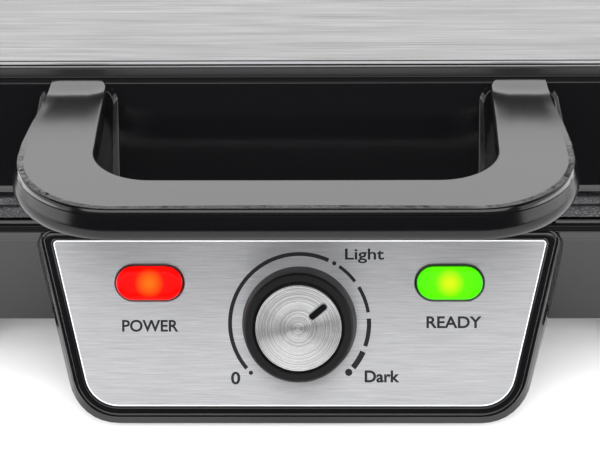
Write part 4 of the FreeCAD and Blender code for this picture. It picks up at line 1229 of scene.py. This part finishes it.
def make_bottom_cover():
    """Moulded cover with rounded edges and two columns of vent slots."""
    low, high = corners("bottom_cover")
    inset = HALF_X - high.x
    slots = [(x, Y_MID + (number - 4) * SLOT_PITCH) for x in (-37.5, 37.5) for number in range(9)]
    cover = Mesh()
    edge = [(inset + 0.5, low.z), (inset + 0.15, low.z + 0.15), (inset, low.z + 0.5), (inset, high.z)]
    cover.rings([body_ring(shrink, z) for shrink, z in edge])
    lower = [body_ring(edge[0][0], low.z)]
    upper = [body_ring(edge[-1][0], high.z)]
    for x, y in slots:
        rings = []
        for grow, z in ((0.8, low.z), (0.24, low.z + 0.12), (0.0, low.z + 0.4), (0.0, high.z)):
            rings.append(at_height(stadium(SLOT_LENGTH + grow, SLOT_WIDTH + grow, x, y, 8), z))
        cover.rings(rings)
        lower.append([point.copy() for point in rings[0]])
        upper.append([point.copy() for point in rings[-1]])
    cover.fill(lower)
    cover.fill(upper)
    finish(cover.build("bottom_cover_moulding", [MATT]), "base", ["bottom_cover"])


def make_feet():
    """Tapered feet and the rubber pads set in them, one near each corner."""
    low, high = corners("feet")
    pad_low, pad_high = corners("foot_pads")
    top, bottom = 15.0, 12.5
    pad = pad_high.x - (high.x - top)
    profile = rounded([
        (0.0, pad_high.z, 0.0), (pad + 0.1, pad_high.z, 0.1), (pad + 0.1, low.z, 0.2), (bottom, low.z, 0.8),
        (top, high.z - 0.1, 0.3), (top - 0.3, high.z, 0.1), (0.0, high.z, 0.0)], 4, closed=False)
    foot = Mesh()
    foot.lathe(profile, ORIGIN, UPWARDS, SIDE, 64)
    rubber = Mesh()
    tread = [(0.0, 0.4), (2.0, 0.4), (2.4, 0.0), (4.4, 0.0), (4.8, 0.4), (5.6, 0.4), (6.0, 0.0),
             (pad - 0.6, 0.0), (pad - 0.15, 0.2), (pad, 0.7)]
    outline = [(radius, pad_low.z + rise) for radius, rise in tread]
    rubber.lathe([*outline, (pad, pad_high.z), (0.0, pad_high.z)], ORIGIN, UPWARDS, SIDE, 64)
    span = (high.x - low.x - 2 * top, high.y - low.y - 2 * top, 2, 2)
    for mesh, name, material, slot, node in ((foot, "feet_moulding", MATT, "black_plastic", "feet"),
                                             (rubber, "foot_pads_rubber", RUBBER, "rubber", "foot_pads")):
        piece = mesh.build(name, [material])
        repeat_on_grids(piece, material, [span])
        piece.data.transform(Matrix.Translation(Vector((0.0, (low.y + high.y) / 2.0, 0.0)) * MM))
        finish(piece, "base", [node], 30.0)


CORD_BORE = 3.7


def make_cord_gland():
    """Rubber-like bush for the cord: a waisted ring with two flanges."""
    low, high = corners("cord_gland")
    long = high.y - low.y
    middle = (low + high) / 2.0
    flange = (high.x - low.x) / 2.0
    body = flange - 3.0
    bush = Mesh()
    profile = rounded([
        (CORD_BORE, 0.0, 0.4), (flange, 0.0, 0.6), (flange, 2.5, 0.4), (body, 2.5, 0.3),
        (body, long - 2.5, 0.3), (flange, long - 2.5, 0.4), (flange, long, 0.9), (CORD_BORE, long, 0.8)], 4)
    bush.lathe(profile + profile[:1], Vector((middle.x, low.y, middle.z)), DEEP, SIDE, 64)
    finish(bush.build("cord_gland_bush", [RUBBER]), "base", ["cord_gland"], 50.0)


def make_hinge_pins():
    """Turned pins with a chamfered end and a rounded head at the outer side."""
    reach = corners("hinge_pins")[1].x - LUG_CENTRE - 1.5
    head = 4.6
    pins = Mesh()
    profile = rounded([
        (0.0, -reach, 0.0), (PIN_RADIUS - 0.5, -reach, 0.0), (PIN_RADIUS, -reach + 0.5, 0.0),
        (PIN_RADIUS, reach, 0.0), (head, reach, 0.15), (head, reach + 1.5, 0.6), (0.0, reach + 1.5, 0.0)],
        5, closed=False)
    for side in (-1, 1):
        pins.lathe(profile, Vector((side * LUG_CENTRE, Y_HINGE, Z_HINGE)), SIDE * side, DEEP, 40)
    finish(pins.build("hinge_pins_turned", [PIN_STEEL]), "base", ["hinge_pins"], 30.0)


# ---------------------------------------------------------------- CAD nodes that keep their shape

KEPT = (
    (ZINC_STEEL, ("pod_screws", "lower_plate_screws", "upper_plate_screws", "handle_screws",
                  "thermostat_bracket", "lower_heater_clamps", "upper_heater_clamps", "thermostat")),
    (PIN_STEEL, ("thermostat_shaft", "lower_heater", "upper_heater")),
    (SHEET, ("lower_reflector", "upper_reflector")),
    (GLASS_BULB, ("power_lamp", "ready_lamp")),
    (CERAMIC, ("lamp_holders", "terminal_block", "lower_thermal_fuse", "upper_thermal_fuse")),
)


def finish_cad_nodes():
    for material, names in KEPT:
        for name in names:
            node = frame["nodes"][name]
            node.data.materials.clear()
            node.data.materials.append(material)


# ---------------------------------------------------------------- studio

CAMERA_ELEVATION = math.radians(27.0)
CAMERA_AZIMUTH = math.radians(1.3)
CAMERA_ROLL = math.radians(-0.65)
CAMERA_DISTANCE = 0.75
CAMERA_LENS = 148.5
SENSOR = 36.0
# the fascia's centre lies this far right of and below the middle of the picture, as a share of its width
VIEW_RIGHT = -0.0008
VIEW_DOWN = 0.1623


def make_camera():
    back = Vector((math.sin(CAMERA_AZIMUTH) * math.cos(CAMERA_ELEVATION),
                   -math.cos(CAMERA_AZIMUTH) * math.cos(CAMERA_ELEVATION), math.sin(CAMERA_ELEVATION)))
    level = (-back).cross(Vector((0, 0, 1))).normalized()
    upright = level.cross(-back)
    right = level * math.cos(CAMERA_ROLL) + upright * math.sin(CAMERA_ROLL)
    up = upright * math.cos(CAMERA_ROLL) - level * math.sin(CAMERA_ROLL)
    share = SENSOR / CAMERA_LENS
    ray = (-back + right * VIEW_RIGHT * share - up * VIEW_DOWN * share).normalized()
    place = FASCIA_CENTRE * MM - ray * CAMERA_DISTANCE
    data = bpy.data.cameras.new("camera")
    data.lens = CAMERA_LENS
    data.sensor_width = SENSOR
    data.clip_start = 0.01
    camera = place_object("camera", data)
    camera.matrix_world = Matrix((right, up, back)).transposed().to_4x4()
    camera.matrix_world.translation = place
    bpy.context.scene.camera = camera


# name, place, target, size, watts, and whether the gloss mirrors it; the fills light the table and don't glint
LIGHTS = (
    ("rear softbox", (0.0, 0.99, 1.1), (0.0, -0.13, 0.097), (3.2, 0.62), 19.0, True),
    ("front softbox", (0.0, -1.5, 1.25), (0.0, 0.0, 0.05), (2.4, 1.0), 19.0, True),
    ("left softbox", (-1.0, 0.0, 0.54), (0.0, 0.0, 0.54), (1.9, 0.48), 3.6, True),
    ("left low strip", (-1.0, 0.0, 0.16), (0.0, 0.0, 0.16), (1.9, 0.28), 8.0, True),
    ("right softbox", (1.0, 0.0, 0.54), (0.0, 0.0, 0.54), (1.9, 0.48), 3.6, True),
    ("right low strip", (1.0, 0.0, 0.16), (0.0, 0.0, 0.16), (1.9, 0.28), 8.0, True),
    ("low fill", (0.0, -0.95, 0.42), (0.0, -0.05, 0.0), (2.2, 0.4), 22.0, False),
    ("overhead fill", (0.0, 0.05, 0.85), (0.0, 0.05, 0.0), (1.3, 0.7), 7.0, False),
)


def area_light(name, place, target, size, power, glossy):
    data = bpy.data.lights.new(name, "AREA")
    data.shape = "RECTANGLE"
    data.size, data.size_y = size
    data.energy = power
    light = place_object(name, data)
    direction = Vector(target) - Vector(place)
    light.rotation_euler = direction.to_track_quat("-Z", "Y").to_euler()
    light.location = place
    light.visible_camera = False
    light.visible_glossy = glossy


def make_floor():
    """A white table; the studio past its edges is dark where it would show in the gloss."""
    table = Mesh()
    table.points = [Vector((x, y, 0.0)) for x, y in ((-900, -420), (900, -420), (900, 900), (-900, 900))]
    table.cap(0, 4)
    floor = table.build("floor", [plain("matt white paper", "#f2f2f2", 0.9, grain=200.0, depth=0.02)])


def make_studio():
    """Pale to the eye and to matt surfaces, dark in the gloss, as a white tent with black flags is."""
    world = bpy.data.worlds.new("studio")
    world.use_nodes = True
    tree = world.node_tree
    path = add(tree, "ShaderNodeLightPath")
    shade = blend(tree, path.outputs["Is Camera Ray"], (0.62, 0.62, 0.62, 1.0), (1.0, 1.0, 1.0, 1.0))
    flags = blend(tree, path.outputs["Is Glossy Ray"], shade, (0.05, 0.05, 0.052, 1.0))
    feed(tree, tree.nodes["Background"], {"Color": flags})
    bpy.context.scene.world = world
    bpy.context.scene.view_settings.view_transform = "Standard"
    for light in LIGHTS:
        area_light(*light)


# ---------------------------------------------------------------- making

make_camera()
make_floor()
make_studio()
make_lid_shell()
make_lid_panel()
make_handle()
make_base_shell()
make_control_pod()
make_control_fascia()
make_lenses()
make_knob_body()
make_knob_cap()
make_knob_pointer()
make_dial_print()
make_plate("lower_plate_casting", "lower_plate", "base", Z_LOWER_FACE, 1.0, LOWER_FLANGE)
make_plate("upper_plate_casting", "upper_plate", "lid", Z_UPPER_FACE, -1.0, UPPER_FLANGE)
make_stud_field("lower_plate_studs", "base", Z_LOWER_FACE, 1.0)
make_stud_field("upper_plate_studs", "lid", Z_UPPER_FACE, -1.0)
make_bottom_screws()
make_bottom_cover()
make_feet()
make_cord_gland()
make_hinge_pins()
finish_cad_nodes()
